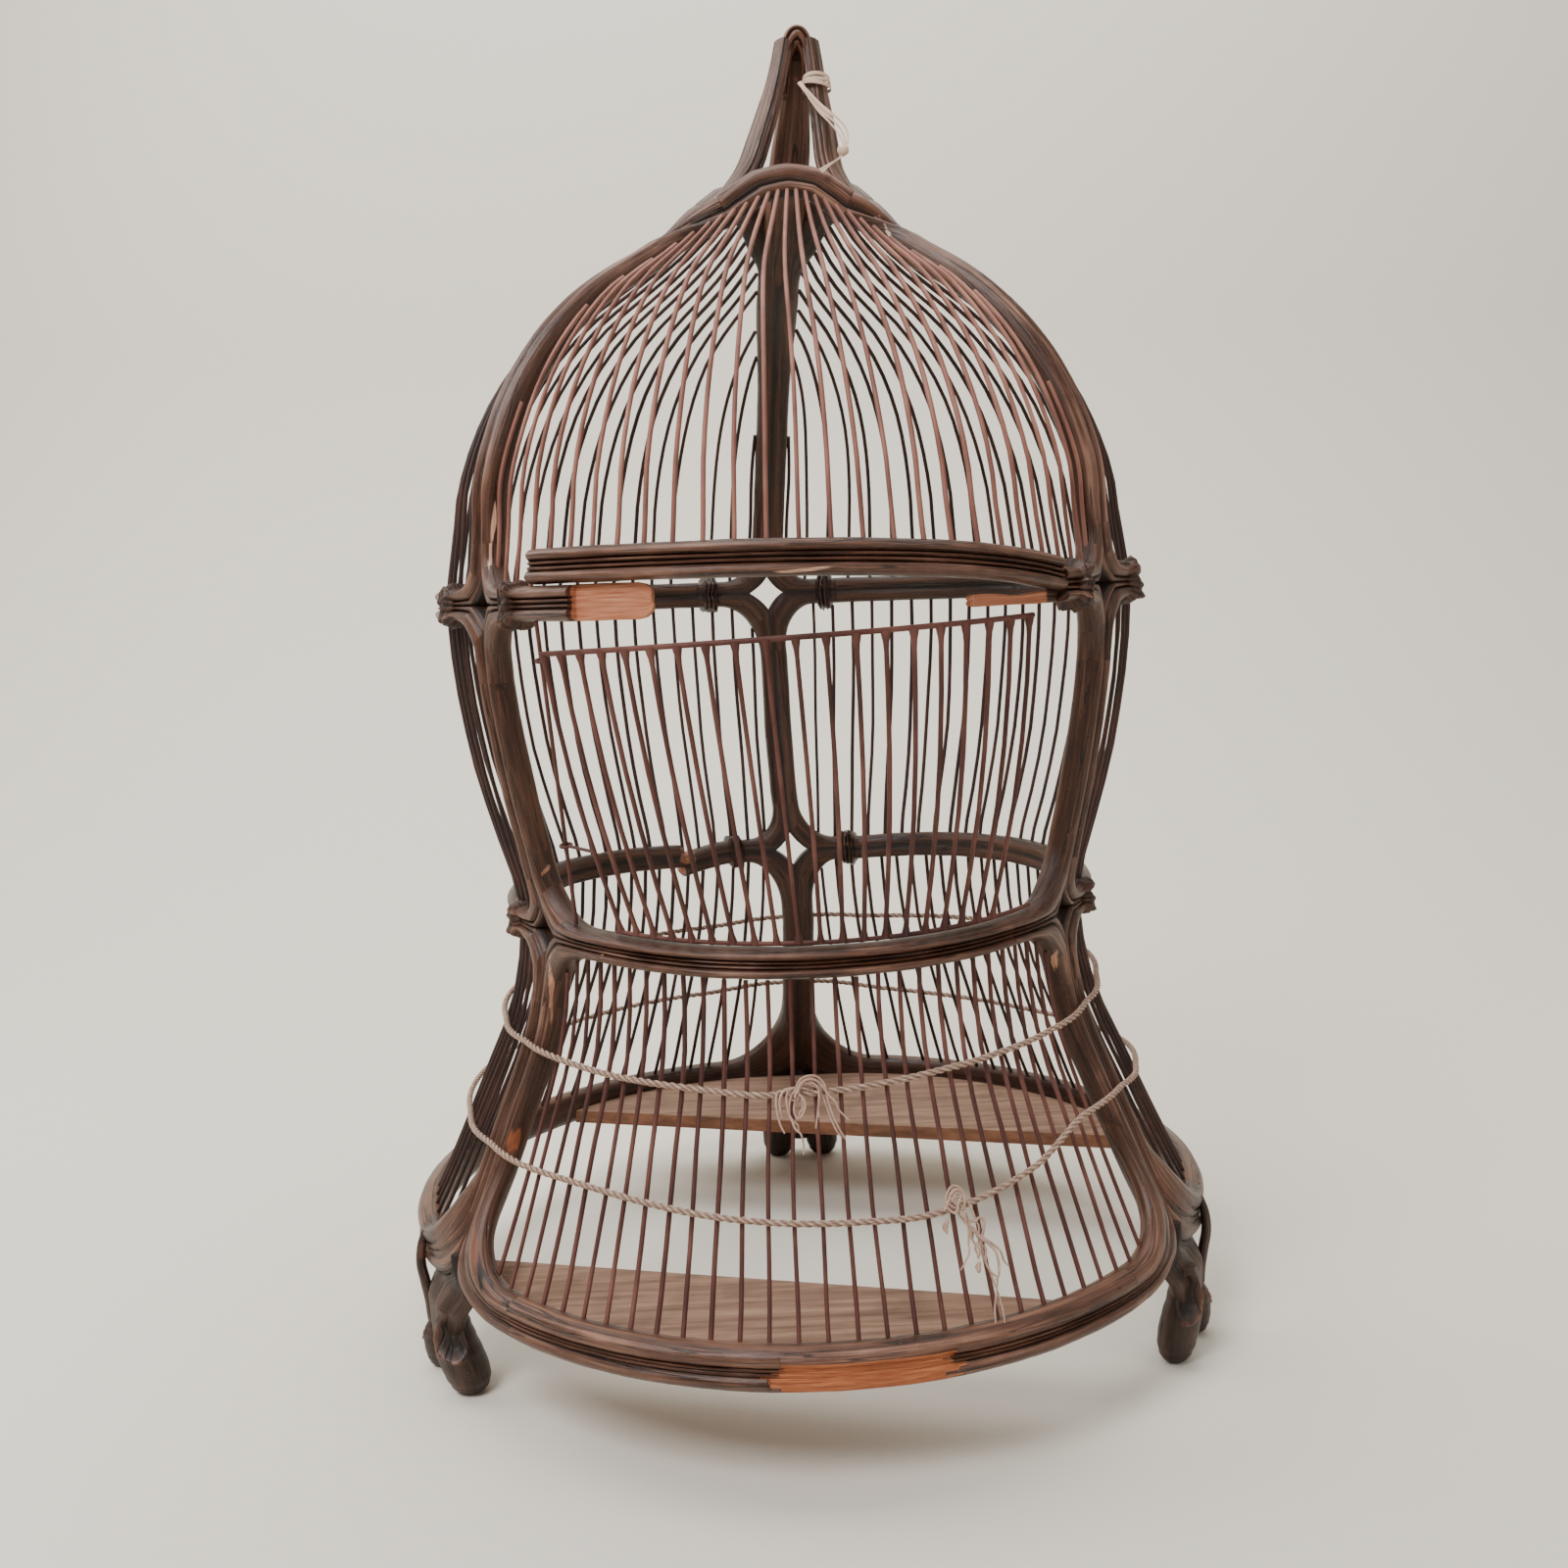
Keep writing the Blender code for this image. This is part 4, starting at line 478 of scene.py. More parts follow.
def makeStainedWood():
    # stained and waxed carved wood: painted shade near black in its cuts, worn grey-brown on its ridges, with fine
    # long grain
    material, add, setShader = startMaterial("stainedCarvedWood")
    grainMap = add("UVMap", {}, uv_map="grain")
    spot = add("TexCoord", {}, "Object")
    tone = add("Attribute", {}, "Vector", attribute_name="tone")
    cut, fresh, warm = (add("SeparateXYZ", {0: tone}, axis) for axis in "XYZ")
    back, height = (add("SeparateXYZ", {0: spot}, axis) for axis in "YZ")
    fields = {}
    for key in ("fibre", "streak", "check"):
        across, along, detail, roughness = woodLook[key]
        stretched = add("Mapping", {"Vector": grainMap, "Scale": (across, along, 1.0)})
        fields[key] = add("TexNoise", {"Vector": stretched, "Scale": 1.0, "Detail": detail, "Roughness": roughness})
    fibre, streak = fields["fibre"], fields["streak"]
    check = add("Math", {0: fields["check"], 1: 0.5}, operation="SUBTRACT")
    check = add("Math", {0: check}, operation="ABSOLUTE")
    check = add("MapRange", {"Value": check, "From Min": 0.016, "From Max": 0.004}, **soft)
    # worn and dusty patches a few centimetres across, and specks of dust under a millimetre
    patch = add("TexNoise", {"Vector": spot, "Scale": 24.0, "Detail": 4.0, "Roughness": 0.6})
    speck = add("TexNoise", {"Vector": spot, "Scale": 900.0, "Detail": 2.0, "Roughness": 0.6})
    # worn most on the ridges and less along the dark streaks; painted light: lighter near the floor and on the upper
    # half, where light from above falls on the rim and the dome, and less worn grey on the sides and inner faces,
    # which take painted warm light
    wearAndLight = add("Math", {0: patch, 1: 2.6, 2: -1.222}, **addToShare)
    ridge = add("Math", {0: cut, 1: 0.0}, operation="MINIMUM")
    wearAndLight = add("Math", {0: ridge, 1: -0.30, 2: wearAndLight}, **addToShare)
    # painted light: lighter towards the floor and over the upper half, where light from above falls on the rim and
    # the dome
    low = add("MapRange", {"Value": height, "From Min": 0.20, "From Max": 0.09})
    high = add("MapRange", {"Value": height, "From Min": 0.46, "From Max": 0.54})
    litHeightShare = add("Math", {0: low, 1: high}, operation="ADD")
    wearAndLight = add("Math", {0: litHeightShare, 1: 0.20, 2: wearAndLight}, **addToShare)
    wearAndLight = add("Math", {0: wearAndLight, 1: 0.88}, operation="SUBTRACT")
    wearAndLight = add("Math", {0: streak, 1: 1.6, 2: wearAndLight}, **addToShare)
    # painted light: the inner faces keep less of the worn grey and take a ruddy tint, standing in for warm light on
    # them
    innerWarmLight = add("Math", {0: warm, 1: -woodLook["innerLightShare"], 2: woodLook["innerLightShare"]}, **addToShare)
    wearAndLight = add("Math", {0: wearAndLight, 1: innerWarmLight}, operation="MULTIPLY")
    base, worn, warmLitTint, broken, torn = (
        add("ValToRGB", {"Fac": field}, stops=woodLook[key])
        for key, field in (("base", fibre), ("worn", streak), ("warmLitTint", streak), ("broken", fibre), ("torn", fibre)))
    colour = add("Mix", {0: wearAndLight, 6: base, 7: worn}, **colours)
    inner = add("Math", {0: warm, 1: 0.75}, operation="MULTIPLY")
    colour = add("Mix", {0: inner, 6: colour, 7: warmLitTint}, **colours)
    # painted shade: darker from the middle back, standing in for the shade on the far side of the frame
    far = add("MapRange", {"Value": back, "From Min": -0.03, "From Max": 0.08, "To Max": woodLook["rearShadeShare"]})
    colour = add("Mix", {0: far, 6: colour, 7: linearColour(woodLook["far"])}, **colours)
    # painted shade: the cuts and grooves are darkened towards near black
    deep = add("Math", {0: cut, 1: 0.95}, operation="MULTIPLY", use_clamp=True)
    colour = add("Mix", {0: deep, 6: colour, 7: linearColour(woodLook["cut"])}, **colours)
    split = add("Math", {0: check, 1: 0.75}, operation="MULTIPLY")
    colour = add("Mix", {0: split, 6: colour, 7: linearColour(woodLook["checkTint"])}, **colours)
    # bare wood where a member is broken or its face torn off, with a ragged edge along the streaks
    broken = add("Mix", {0: warm, 6: broken, 7: torn}, **colours)
    edge = add("Math", {0: streak, 1: 0.7, 2: -0.35}, **addTo)
    bare = add("Math", {0: fresh, 1: edge}, operation="ADD")
    bare = add("MapRange", {"Value": bare, "From Min": 0.44, "From Max": 0.54}, **soft)
    colour = add("Mix", {0: bare, 6: colour, 7: broken}, **colours)
    ragged = add("Math", {0: edge, 1: 3.2, 2: fibre}, **addTo)
    for start, end, width, tint, strength in woodMarks:
        start, end = Vector(start), Vector(end)
        turn = (end - start).to_track_quat("Z", "Y").to_euler()
        reach = add("Mapping", {"Vector": spot, "Location": (start + end) / 2.0, "Rotation": turn,
                                "Scale": (width, width, (end - start).length * 0.55)}, vector_type="TEXTURE")
        reach = add("VectorMath", {0: reach}, "Value", operation="LENGTH")
        reach = add("Math", {0: reach, 1: ragged}, operation="ADD")
        inside = add("MapRange", {"Value": reach, "From Min": 1.60, "From Max": 1.30, "To Max": strength}, **soft)
        shade = add("ValToRGB", {"Fac": fibre},
                    stops=((0.30, shadeOf(tint, 0.62)), (0.50, tint), (0.70, shadeOf(tint, 1.18))))
        colour = add("Mix", {0: inside, 6: colour, 7: shade}, **colours)
    dust = add("MapRange", {"Value": speck, "From Min": 0.66, "From Max": 0.66 + 1.0 / 6.0,
                            "To Max": woodLook["dustShare"]})
    colour = add("Mix", {0: dust, 6: colour, 7: linearColour(woodLook["dust"])}, **colours)
    # waxed ridges shine, cuts and bare wood are matt
    rough = add("MapRange", {"Value": streak, "From Min": 0.3, "From Max": 0.7, "To Min": 0.27, "To Max": 0.52})
    matt = add("Math", {0: cut, 1: 0.5}, operation="MULTIPLY")
    matt = add("Math", {0: bare, 1: matt}, operation="MAXIMUM")
    rough = add("Math", {0: matt, 1: 0.32, 2: rough}, **addToShare)
    relief = add("Math", {0: fibre, 1: 0.7, 2: streak}, **addTo)
    relief = add("Math", {0: relief, 1: check}, operation="SUBTRACT")
    bump = add("Bump", {"Strength": 0.65, "Distance": 0.0007, "Height": relief})
    setShader({"Base Color": colour, "Roughness": rough, "Normal": bump, "IOR": 1.46})
    return material


def makeWire(name, dull, middle, bright):
    # Drawn iron wire, rusted all over: a matt red-brown skin with darker scale and pale scuffs.
    material, add, setShader = startMaterial(name)
    spot = add("TexCoord", {}, "Object")
    scale = add("TexNoise", {"Vector": spot, "Scale": 26.0, "Detail": 3.0})
    speck = add("TexNoise", {"Vector": spot, "Scale": 700.0, "Detail": 2.0})
    colour = add("ValToRGB", {"Fac": scale}, stops=((0.18, dull), (0.50, middle), (0.84, bright)))
    fleck = add("Math", {0: speck, 1: 2.0, 2: -1.24}, **addToShare)
    colour = add("Mix", {0: fleck, 6: colour, 7: linearColour(dull)}, **colours)
    bump = add("Bump", {"Strength": 0.3, "Distance": 0.0002, "Height": speck})
    setShader({"Base Color": colour, "Metallic": 0.25, "Roughness": 0.62, "Normal": bump})
    return material


def makeBoard():
    # Sawn softwood board, bare and dirty: grey-brown on its faces, orange-brown at its cut edges.
    material, add, setShader = startMaterial("bareSawnBoard")
    spot = add("TexCoord", {}, "Object")
    # growth lines about 6 mm apart, along the cut
    turned = add("Mapping", {"Vector": spot, "Rotation": (0.0, 0.0, math.radians(15.0)),
                             "Scale": (12.0, 160.0, 160.0)})
    grain = add("TexNoise", {"Vector": turned, "Scale": 1.0, "Detail": 5.0, "Roughness": 0.65})
    stain = add("TexNoise", {"Vector": spot, "Scale": 30.0, "Detail": 5.0})
    face = add("ValToRGB", {"Fac": grain}, stops=((0.24, "#5c4333"), (0.52, "#906f5b"), (0.78, "#b09078")))
    side = add("ValToRGB", {"Fac": grain}, stops=((0.24, "#4f3020"), (0.52, "#7b5038"), (0.78, "#99694d")))
    upward = add("SeparateXYZ", {0: add("NewGeometry", {}, "Normal")}, "Z")
    upward = add("Math", {0: upward, 1: 0.5}, operation="GREATER_THAN")
    colour = add("Mix", {0: upward, 6: side, 7: face}, **colours)
    dirt = add("Math", {0: stain, 1: 2.4, 2: -1.248}, **addToShare)
    colour = add("Mix", {0: dirt, 6: colour, 7: linearColour("#54402f")}, **colours)
    bump = add("Bump", {"Strength": 0.5, "Distance": 0.0005, "Height": grain})
    setShader({"Base Color": colour, "Roughness": 0.78, "Normal": bump})
    return material


def makeFibre(name, ramp, shadow, rough, across, along):
    # Plant fibre: fine strands that run along the piece's own UV map, dry and matt, with painted shade between the
    # plies.
    material, add, setShader = startMaterial(name)
    stretched = add("Mapping", {"Vector": add("UVMap", {}, uv_map="grain"), "Scale": (across, along, 1.0)})
    fibre = add("TexNoise", {"Vector": stretched, "Scale": 1.0, "Detail": 4.0, "Roughness": 0.65})
    dark = add("SeparateXYZ", {0: add("Attribute", {}, "Vector", attribute_name="tone")})
    colour = add("ValToRGB", {"Fac": fibre}, stops=tuple(zip((0.28, 0.50, 0.72), ramp)))
    colour = add("Mix", {0: dark, 6: colour, 7: linearColour(shadow)}, **colours)
    bump = add("Bump", {"Strength": 0.6, "Distance": 0.0003, "Height": fibre})
    setShader({"Base Color": colour, "Roughness": rough, "Normal": bump})
    return material


stainedWood = makeStainedWood()
# painted light: lit and shaded copies of one rusted wire, the lightest for the lit front dome and the nail, a darker
# one for the door, hinge and front skirt, a near-black one for the shaded sides and back
litRustedWire = makeWire("litRustedIronWire", "#5a332b", "#895a4d", "#ae7d6d")
halfShadedWire = makeWire("halfShadedIronWire", "#2c1612", "#583029", "#805349")
shadedWire = makeWire("shadedIronWire", "#170b08", "#331b16", "#553128")
sawnBoard = makeBoard()
hempTwine = makeFibre("twistedHempTwine", ("#6f5647", "#b09180", "#e8cdb9"), "#3a281e", 0.85, 2400.0, 160.0)
raffiaStrip = makeFibre("peeledRaffia", ("#b5836d", "#dfbfa8", "#f6e3d2"), "#8a5a48", 0.6, 2600.0, 60.0)
print("materials made")

# Ribs, each with its junctions, knobs, strands into the base rim and leg of the handle
rib = {
    "halfDepth": 0.0085, "skirtHalfWidth": 0.0120, "barrelHalfWidth": 0.0100, "domeHalfWidth": 0.0115,
    "crownHalfWidth": 0.0095, "crownSpread": 0.0045, "spreadReach": 0.090, "shoulderHalfHeight": 0.0095,
    "waistHalfHeight": 0.0085, "diamond": 0.0128, "diamondRound": 0.30, "partAngle": 28.0, "bulge": 0.02,
    "stubLength": 0.0520, "plainStub": 0.011, "upperFillet": (0.0320, 0.0340), "lowerFillet": (0.0350, 0.0440),
    "frontFillet": 0.0500, "splitHeight": 0.0800, "spread": 0.0600, "notch": 0.0120, "partPower": 1.15,
    "notchPower": 1.1, "crownSlope": 0.052, "torn": 0.0012, "stations": (22, 26, 60), "crownStations": 16,
    "strandStations": 36,
}
# The knob beside a junction: uneven turns with painted shade in the cuts between them, a little lumpy
collar = {"start": 0.0370, "length": 0.0118, "rise": 0.0040, "ridges": 4, "stepsPerRidge": 7, "least": 0.55,
          "edge": 5.0, "ridgeShare": 0.38, "knob": 0.9, "dark": 0.75, "lump": 0.30, "grain": (210.0, 190.0)}
brokenRail = {"leftStubEnd": 237.1, "leftLapEnd": 249.8, "rightStubEnd": 311.9, "rightLapEnd": 294.3,
              "lapStep": 0.0006, "rightLapHeight": 0.0058, "looseLeft": 228.2, "looseRight": 311.5,
              "looseLiftLeft": 0.0196, "looseLiftRight": 0.0062, "waistLap": 118.0, "waistDrop": 0.0065,
              "lapStations": 14, "lapFront": (0.08, 0.03), "tipNarrow": 0.0035, "tipSharp": 9.0,
              "bareFrom": 0.10, "bareOver": 0.12, "lapWave": 0.12, "lapWaves": 9.0}
rim = {"halfHeight": 0.0120, "halfDepth": 0.0090, "inset": 0.0015, "stations": 90}
tornPatch = {"start": 263.4, "end": 284.4, "top": 0.0035, "rows": 12, "edge": 1.5, "edgeStations": 15, "jag": 2.6,
             "depth": 0.60, "tooth": 0.05, "teeth": (1.7, 700.0), "fibres": 900.0}
arch = {"halfHeight": 0.0105, "halfDepth": 0.0065, "halfLength": 0.0370, "drop": 0.0400, "faceAngle": 24.0,
        "flare": 0.12, "stations": 44, "blur": 0.04, "reach": 0.05,
        "knots": ((0.0, 0.0), (0.47, 0.085), (0.86, 0.33), (1.0, 0.44))}
leg = {"root": 0.0120, "footHalfWidth": 0.0075, "halfWidth": 0.0112, "topHalfWidth": 0.0066,
       "halfThickness": 0.0058, "topHalfThickness": 0.0045, "grooves": (-0.45, 0.35), "sideGrooves": (0.45, -0.25),
       "topDrop": (0.0120, 0.0050, 0.0050), "widths": (1.22, 1.0, 1.0), "corner": 0.62, "sides": 44,
       "stations": 44, "frontFrom": 0.5, "sideFrom": 0.8, "grooveWidth": 0.07, "sideGrooveWidth": 0.12,
       "frontCut": 0.14, "sideCut": 0.10, "dark": 0.85, "darkFrom": 0.15, "worn": -0.4}

partAngle = rib["partAngle"]
stemThetas = evenly(0.0, partAngle, 10)
freeThetas = evenly(partAngle, 90.0 - partAngle, 13)
railThetas = evenly(90.0 - partAngle, 90.0, 10)
widthTable = ((0.0, rib["skirtHalfWidth"]), (waistLevel * 0.75, rib["skirtHalfWidth"]),
              (waistLevel, rib["barrelHalfWidth"]), (shoulderLevel, rib["barrelHalfWidth"]),
              (shoulderLevel + rib["upperFillet"][1], rib["domeHalfWidth"]),
              (crownLevel * 0.90, rib["domeHalfWidth"]), (crownLevel, rib["crownHalfWidth"]))


def filletPoint(theta, halfWidth, halfHeight, width, height):
    angle = math.radians(theta)
    return width - (width - halfWidth) * math.cos(angle), height - (height - halfHeight) * math.sin(angle)


def diamondPoint(theta, width, height):
    size = rib["diamond"]
    if theta <= partAngle:
        return 0.0, mix(height, size, theta / partAngle)
    if theta >= 90.0 - partAngle:
        return mix(size, width, (theta - (90.0 - partAngle)) / partAngle), 0.0
    share = (theta - partAngle) / (90.0 - 2.0 * partAngle)
    angle = math.radians(90.0 * share)
    arc = (size * (1.0 - math.cos(angle)), size * (1.0 - math.sin(angle)))
    return pairMix((size * share, size * (1.0 - share)), arc, rib["diamondRound"])


def stubRing(number, side, level, halfHeight, across, swell=0.0, drop=0.0, front=1.0, heightShare=1.0, fresh=0.0,
             dark=0.0, knob=0.0):
    reach = halfHeight + swell
    grain, fine = collar["grain"]

    def where(along, rise, depth):
        depth = depth * front if depth > 0.0 else depth
        rise = (rise + reach) * heightShare - reach
        lump = noise.noise(Vector((along * grain + number * 9.0, rise * fine + side * 4.0, depth * fine)))
        lump = 1.0 + knob * collar["lump"] * lump
        return ribPlace(number, side * along, level + rise * lump - drop, depth * lump)

    ring = pairRing(where, (across, 0.0), ((across, reach), (across, -reach)), rib["halfDepth"] + swell,
                    knob, knobSection, fresh=fresh)
    for point in ring:
        point[3] = mix(point[3], 1.0, dark)
    return ring


def junction(carving, number, level, halfHeight, halfWidths, sizes, stubs):
    # A four-way whiplash junction round its diamond opening.
    lobes = {}
    for side in (-1, 1):
        for up in (-1, 1):
            width, height = sizes[side, up]

            def where(across, along, depth):
                return ribPlace(number, side * across, level + up * along, depth)

            for theta in sorted(set(stemThetas + freeThetas + railThetas)):
                free = partAngle < theta < 90.0 - partAngle
                outer = filletPoint(theta, halfWidths[up], halfHeight, width, height)
                lobes[side, up, theta] = lobe(diamondPoint(theta, width, height), outer, rib["halfDepth"], where,
                                              bulge=rib["bulge"] if free else 0.0)
            carving.loft([lobes[side, up, theta] for theta in freeThetas], openEnds)
    for up in (-1, 1):
        carving.loft([joinedRing(lobes[-1, up, theta], lobes[1, up, theta]) for theta in stemThetas], openEnds)
    for side in (-1, 1):
        rings = [joinedRing(lobes[side, 1, theta], lobes[side, -1, theta]) for theta in railThetas]
        rings += [stubRing(number, side, level, halfHeight, **station) for station in stubs[side]]
        carving.loft(rings, (None, rib["torn"]))
    return {up: joinedRing(lobes[-1, up, 0.0], lobes[1, up, 0.0]) for up in (-1, 1)}


collarRandom = random.Random(5)


def collarStations():
    # never the same twice
    ridges = [collarRandom.uniform(collar["least"], 1.0) for ridge in range(collar["ridges"])]
    stations = []
    for share in evenly(0.0, 1.0, collar["ridges"] * collar["stepsPerRidge"] + 1):
        turn = min(share * collar["ridges"], collar["ridges"] - 0.001)
        ridge = abs(math.sin(math.pi * turn)) * ridges[int(turn)]
        body = smoothStep(min(share, 1.0 - share) * collar["edge"])
        stations.append({"across": collar["start"] + collar["length"] * share,
                         "swell": collar["rise"] * body * mix(1.0, ridge, collar["ridgeShare"]),
                         "knob": collar["knob"] * body, "dark": collar["dark"] * (1.0 - ridge) * body})
    return stations


def acrossAt(number, level, azimuth):
    turn = abs((azimuth - ribAzimuth(number, level) + 180.0) % 360.0 - 180.0)
    return math.radians(turn) * radiusAt(level)


def plainStubs():
    stations = collarStations() + [{"across": rib["stubLength"]}]
    return {-1: stations, 1: stations}


def shoulderStubs(number):
    # the front rail broke off the stubs of both front ribs and left a lap of bare wood on each
    stubs = plainStubs()
    if number == 0:
        return stubs
    side, label, count = ((1, "left", 8), (-1, "right", 4))[number - 1]
    end = acrossAt(number, shoulderLevel, brokenRail[label + "StubEnd"])
    tip = acrossAt(number, shoulderLevel, brokenRail[label + "LapEnd"])
    low = brokenRail["rightLapHeight"] / (2.0 * rib["shoulderHalfHeight"])
    stubs[side] = collarStations() + [{"across": across} for across in evenly(rib["stubLength"], end, count)]
    for share in evenly(0.0, 1.0, brokenRail["lapStations"]):
        station = {"across": mix(end + brokenRail["lapStep"], tip, share),
                   "front": mix(*brokenRail["lapFront"], share)}
        if label == "left":
            station["fresh"] = 1.0
            station["swell"] = -brokenRail["tipNarrow"] * (1.0 - smoothStep((1.0 - share) * brokenRail["tipSharp"]))
        else:
            station["fresh"] = smoothStep((share - brokenRail["bareFrom"]) / brokenRail["bareOver"])
            wave = brokenRail["lapWave"] * math.sin(share * brokenRail["lapWaves"])
            station["heightShare"] = low * (1.0 + wave)
        stubs[side].append(station)
    return stubs


def waistStubs(number):
    # no knobs at the front; the back rib's right stub is bent down to its lap
    stubs = plainStubs()
    if number == 0:
        end = acrossAt(0, waistLevel, brokenRail["waistLap"])
        stubs[1] = collarStations() + [{"across": mix(rib["stubLength"], end, share),
                                        "drop": brokenRail["waistDrop"] * share} for share in evenly(0.1, 1.0, 8)]
    else:
        stubs[1 if number == 1 else -1] = [
            {"across": across}
            for across in evenly(rib["frontFillet"] + 0.003, rib["stubLength"] + rib["plainStub"], 5)]
    return stubs


def filletSizes(number, waist=False):
    sizes = {}
    for side in (-1, 1):
        sizes[side, 1], sizes[side, -1] = rib["upperFillet"], rib["lowerFillet"]
        if waist and (number, side) in ((1, 1), (2, -1)):
            sizes[side, 1] = (rib["frontFillet"], rib["frontFillet"])
            sizes[side, -1] = (rib["frontFillet"], rib["lowerFillet"][1])
    return sizes


def stemRing(number, level, halfWidth):
    return pairRing(functools.partial(ribPlace, number), (0.0, level), ((-halfWidth, level), (halfWidth, level)),
                    rib["halfDepth"])


def stemRings(number, start, end, count, halfWidth):
    return [stemRing(number, level, halfWidth) for level in evenly(start, end, count)[1:-1]]


def archDropAt(share):
    share = abs(share)
    near = share <= arch["knots"][1][0]
    return arch["drop"] * shareAt(arch["knots"], share, lambda t: t * (0.6 + 0.4 * t) if near else t)


def archFrame(azimuth, share):
    outward, along = compass(azimuth)

    def middle(s):
        drop = sum(archDropAt(s + shift) for shift in (-arch["blur"], 0.0, arch["blur"])) / 3.0
        point = outward * (cage["archReach"] + arch["flare"] * drop) + along * (s * arch["halfLength"])
        point.z = cage["archHeight"] - drop
        point.x += leanAt(point.z)
        return point

    tangent = (middle(share + arch["reach"]) - middle(share - arch["reach"])).normalized()
    face = math.radians(arch["faceAngle"])
    normal = outward * math.cos(face) + Vector((0.0, 0.0, math.sin(face)))
    down = tangent.cross(normal).normalized()
    down = -down if down.z > 0.0 else down
    normal = down.cross(tangent).normalized()
    normal = -normal if normal.dot(outward) < 0.0 else normal
    return middle(share), tangent, down, normal


def archRing(azimuth, share, shift=0.0):
    middle, tangent, down, normal = archFrame(azimuth, share)
    middle = middle + tangent * shift

    def where(across, along, depth):
        return middle + down * across + normal * depth

    return lobe((-arch["halfHeight"], 0.0), (arch["halfHeight"], 0.0), arch["halfDepth"], where, 1.0, archSection)


def hermite(start, startSlope, end, endSlope, t):
    return (start * (2 * t ** 3 - 3 * t ** 2 + 1) + startSlope * (t ** 3 - 2 * t ** 2 + t)
            + end * (-2 * t ** 3 + 3 * t ** 2) + endSlope * (t ** 3 - t ** 2))


def crownStrand(carving, number, side):
    # half of the rib's top, swept over into the end of an arch
    def where(across, along, depth):
        return ribPlace(number, side * across, along, depth)

    halfWidth = rib["crownHalfWidth"] + (rib["crownSpread"] if number == 0 else 0.0)
    start = lobe((0.0, crownLevel), (halfWidth, crownLevel), rib["halfDepth"], where)
    azimuth = ribAzimuths[number] + side * 60.0
    end = archRing(azimuth, -side)
    slope = (ribPlace(number, 0.0, crownLevel) - ribPlace(number, 0.0, crownLevel - rib["crownSlope"])).normalized()
    endSlope = archFrame(azimuth, -side)[1] * side
    reach = (Vector(end[0][:3]) - Vector(start[0][:3])).length
    carving.loft([[hermite(a, toned(slope) * reach, b, toned(endSlope) * reach, t) for a, b in zip(start, end)]
                  for t in evenly(0.0, 1.0, rib["crownStations"])], (None, 0.0))


def tornAt(azimuth, along):
    # the fibres part at different lengths, so the ends of the patch are ragged
    fibre = along * tornPatch["fibres"]
    first, second = (tornPatch[key] + tornPatch["jag"] * noise.noise(Vector((fibre, row, 0.5)))
                     for key, row in (("start", 3.0), ("end", 9.0)))
    return first < azimuth < second


def rimRing(azimuth, torn=False):
    def where(across, along, depth):
        if torn and depth > 0.0 and along < tornPatch["top"] and tornAt(azimuth, along):
            teethRound, teethUp = tornPatch["teeth"]
            tooth = tornPatch["tooth"] * noise.noise(Vector((azimuth * teethRound, along * teethUp, 0.0)))
            depth = min(depth, rim["halfDepth"] * (tornPatch["depth"] + tooth))
        return place(azimuth, along, depth - rim["inset"], 1.0)

    ring = lobe((0.0, -rim["halfHeight"]), (0.0, rim["halfHeight"]), rim["halfDepth"], where, 1.0)
    if torn:
        for index in (*range(tornPatch["rows"]), 22, 23):
            if tornAt(azimuth, mix(-rim["halfHeight"], rim["halfHeight"], rimSection[index][0])):
                ring[index][3:6] = 0.0, 1.0, 1.0
    return ring


def footStrandRing(number, side, theta):
    outer = filletPoint(theta, rib["skirtHalfWidth"], rim["halfHeight"], rib["spread"], rib["splitHeight"])
    angle = math.radians(theta)
    inner = (rib["spread"] * (1.0 - math.cos(angle)) ** rib["partPower"],
             mix(-rim["halfHeight"], rib["notch"], (1.0 - math.sin(angle)) ** rib["notchPower"]))
    turn = smoothStep(theta / 90.0)

    def where(across, along, depth):
        return ribPlace(number, side * across, along, depth - rim["inset"] * turn, turn)

    return lobe(inner, outer, mix(rib["halfDepth"], rim["halfDepth"], turn), where, turn)


def rimStrand(carving, number, side):
    rings = [footStrandRing(number, side, theta) for theta in evenly(0.0, 90.0, rib["strandStations"])]
    across = rib["spread"] + rib["plainStub"]
    rings.append(rimRing(ribAzimuths[number] + side * math.degrees(across / cage["rimRadius"])))
    carving.loft(rings, (None, 0.0))


def legRing(number, level, halfWidth, halfThickness):
    # a rounded bar with two grooves cut along its front and two along each side
    centre = ribPlace(number, 0.0, level)
    outward, sideways = compass(ribAzimuth(number, level))
    below, above = (ribPlace(number, 0.0, level + reach) for reach in (-0.004, 0.004))
    normal = sideways.cross((above - below).normalized())
    normal = -normal if normal.dot(outward) < 0.0 else normal
    ring = []
    for turn in turnsOf(leg["sides"]):
        across, depth = (math.copysign(abs(value) ** leg["corner"], value)
                         for value in (math.cos(turn), math.sin(turn)))
        onFront, onSide = depth > leg["frontFrom"], abs(across) > leg["sideFrom"]
        cut = sum(groove(across, middle, leg["grooveWidth"]) for middle in leg["grooves"]) if onFront else 0.0
        cut += sum(groove(depth, middle, leg["sideGrooveWidth"]) for middle in leg["sideGrooves"]) if onSide else 0.0
        cut = min(cut, 1.0)
        spot = (centre + sideways * (across * halfWidth * (1.0 - (leg["sideCut"] * cut if onSide else 0.0)))
                + normal * (depth * halfThickness * (1.0 - (leg["frontCut"] * cut if onFront else 0.0))))
        # painted shade darkens the grooves; the rest of the bar is worn lighter
        ring.append(toned(spot, leg["dark"] * cut if cut > leg["darkFrom"] else leg["worn"]))
    return ring


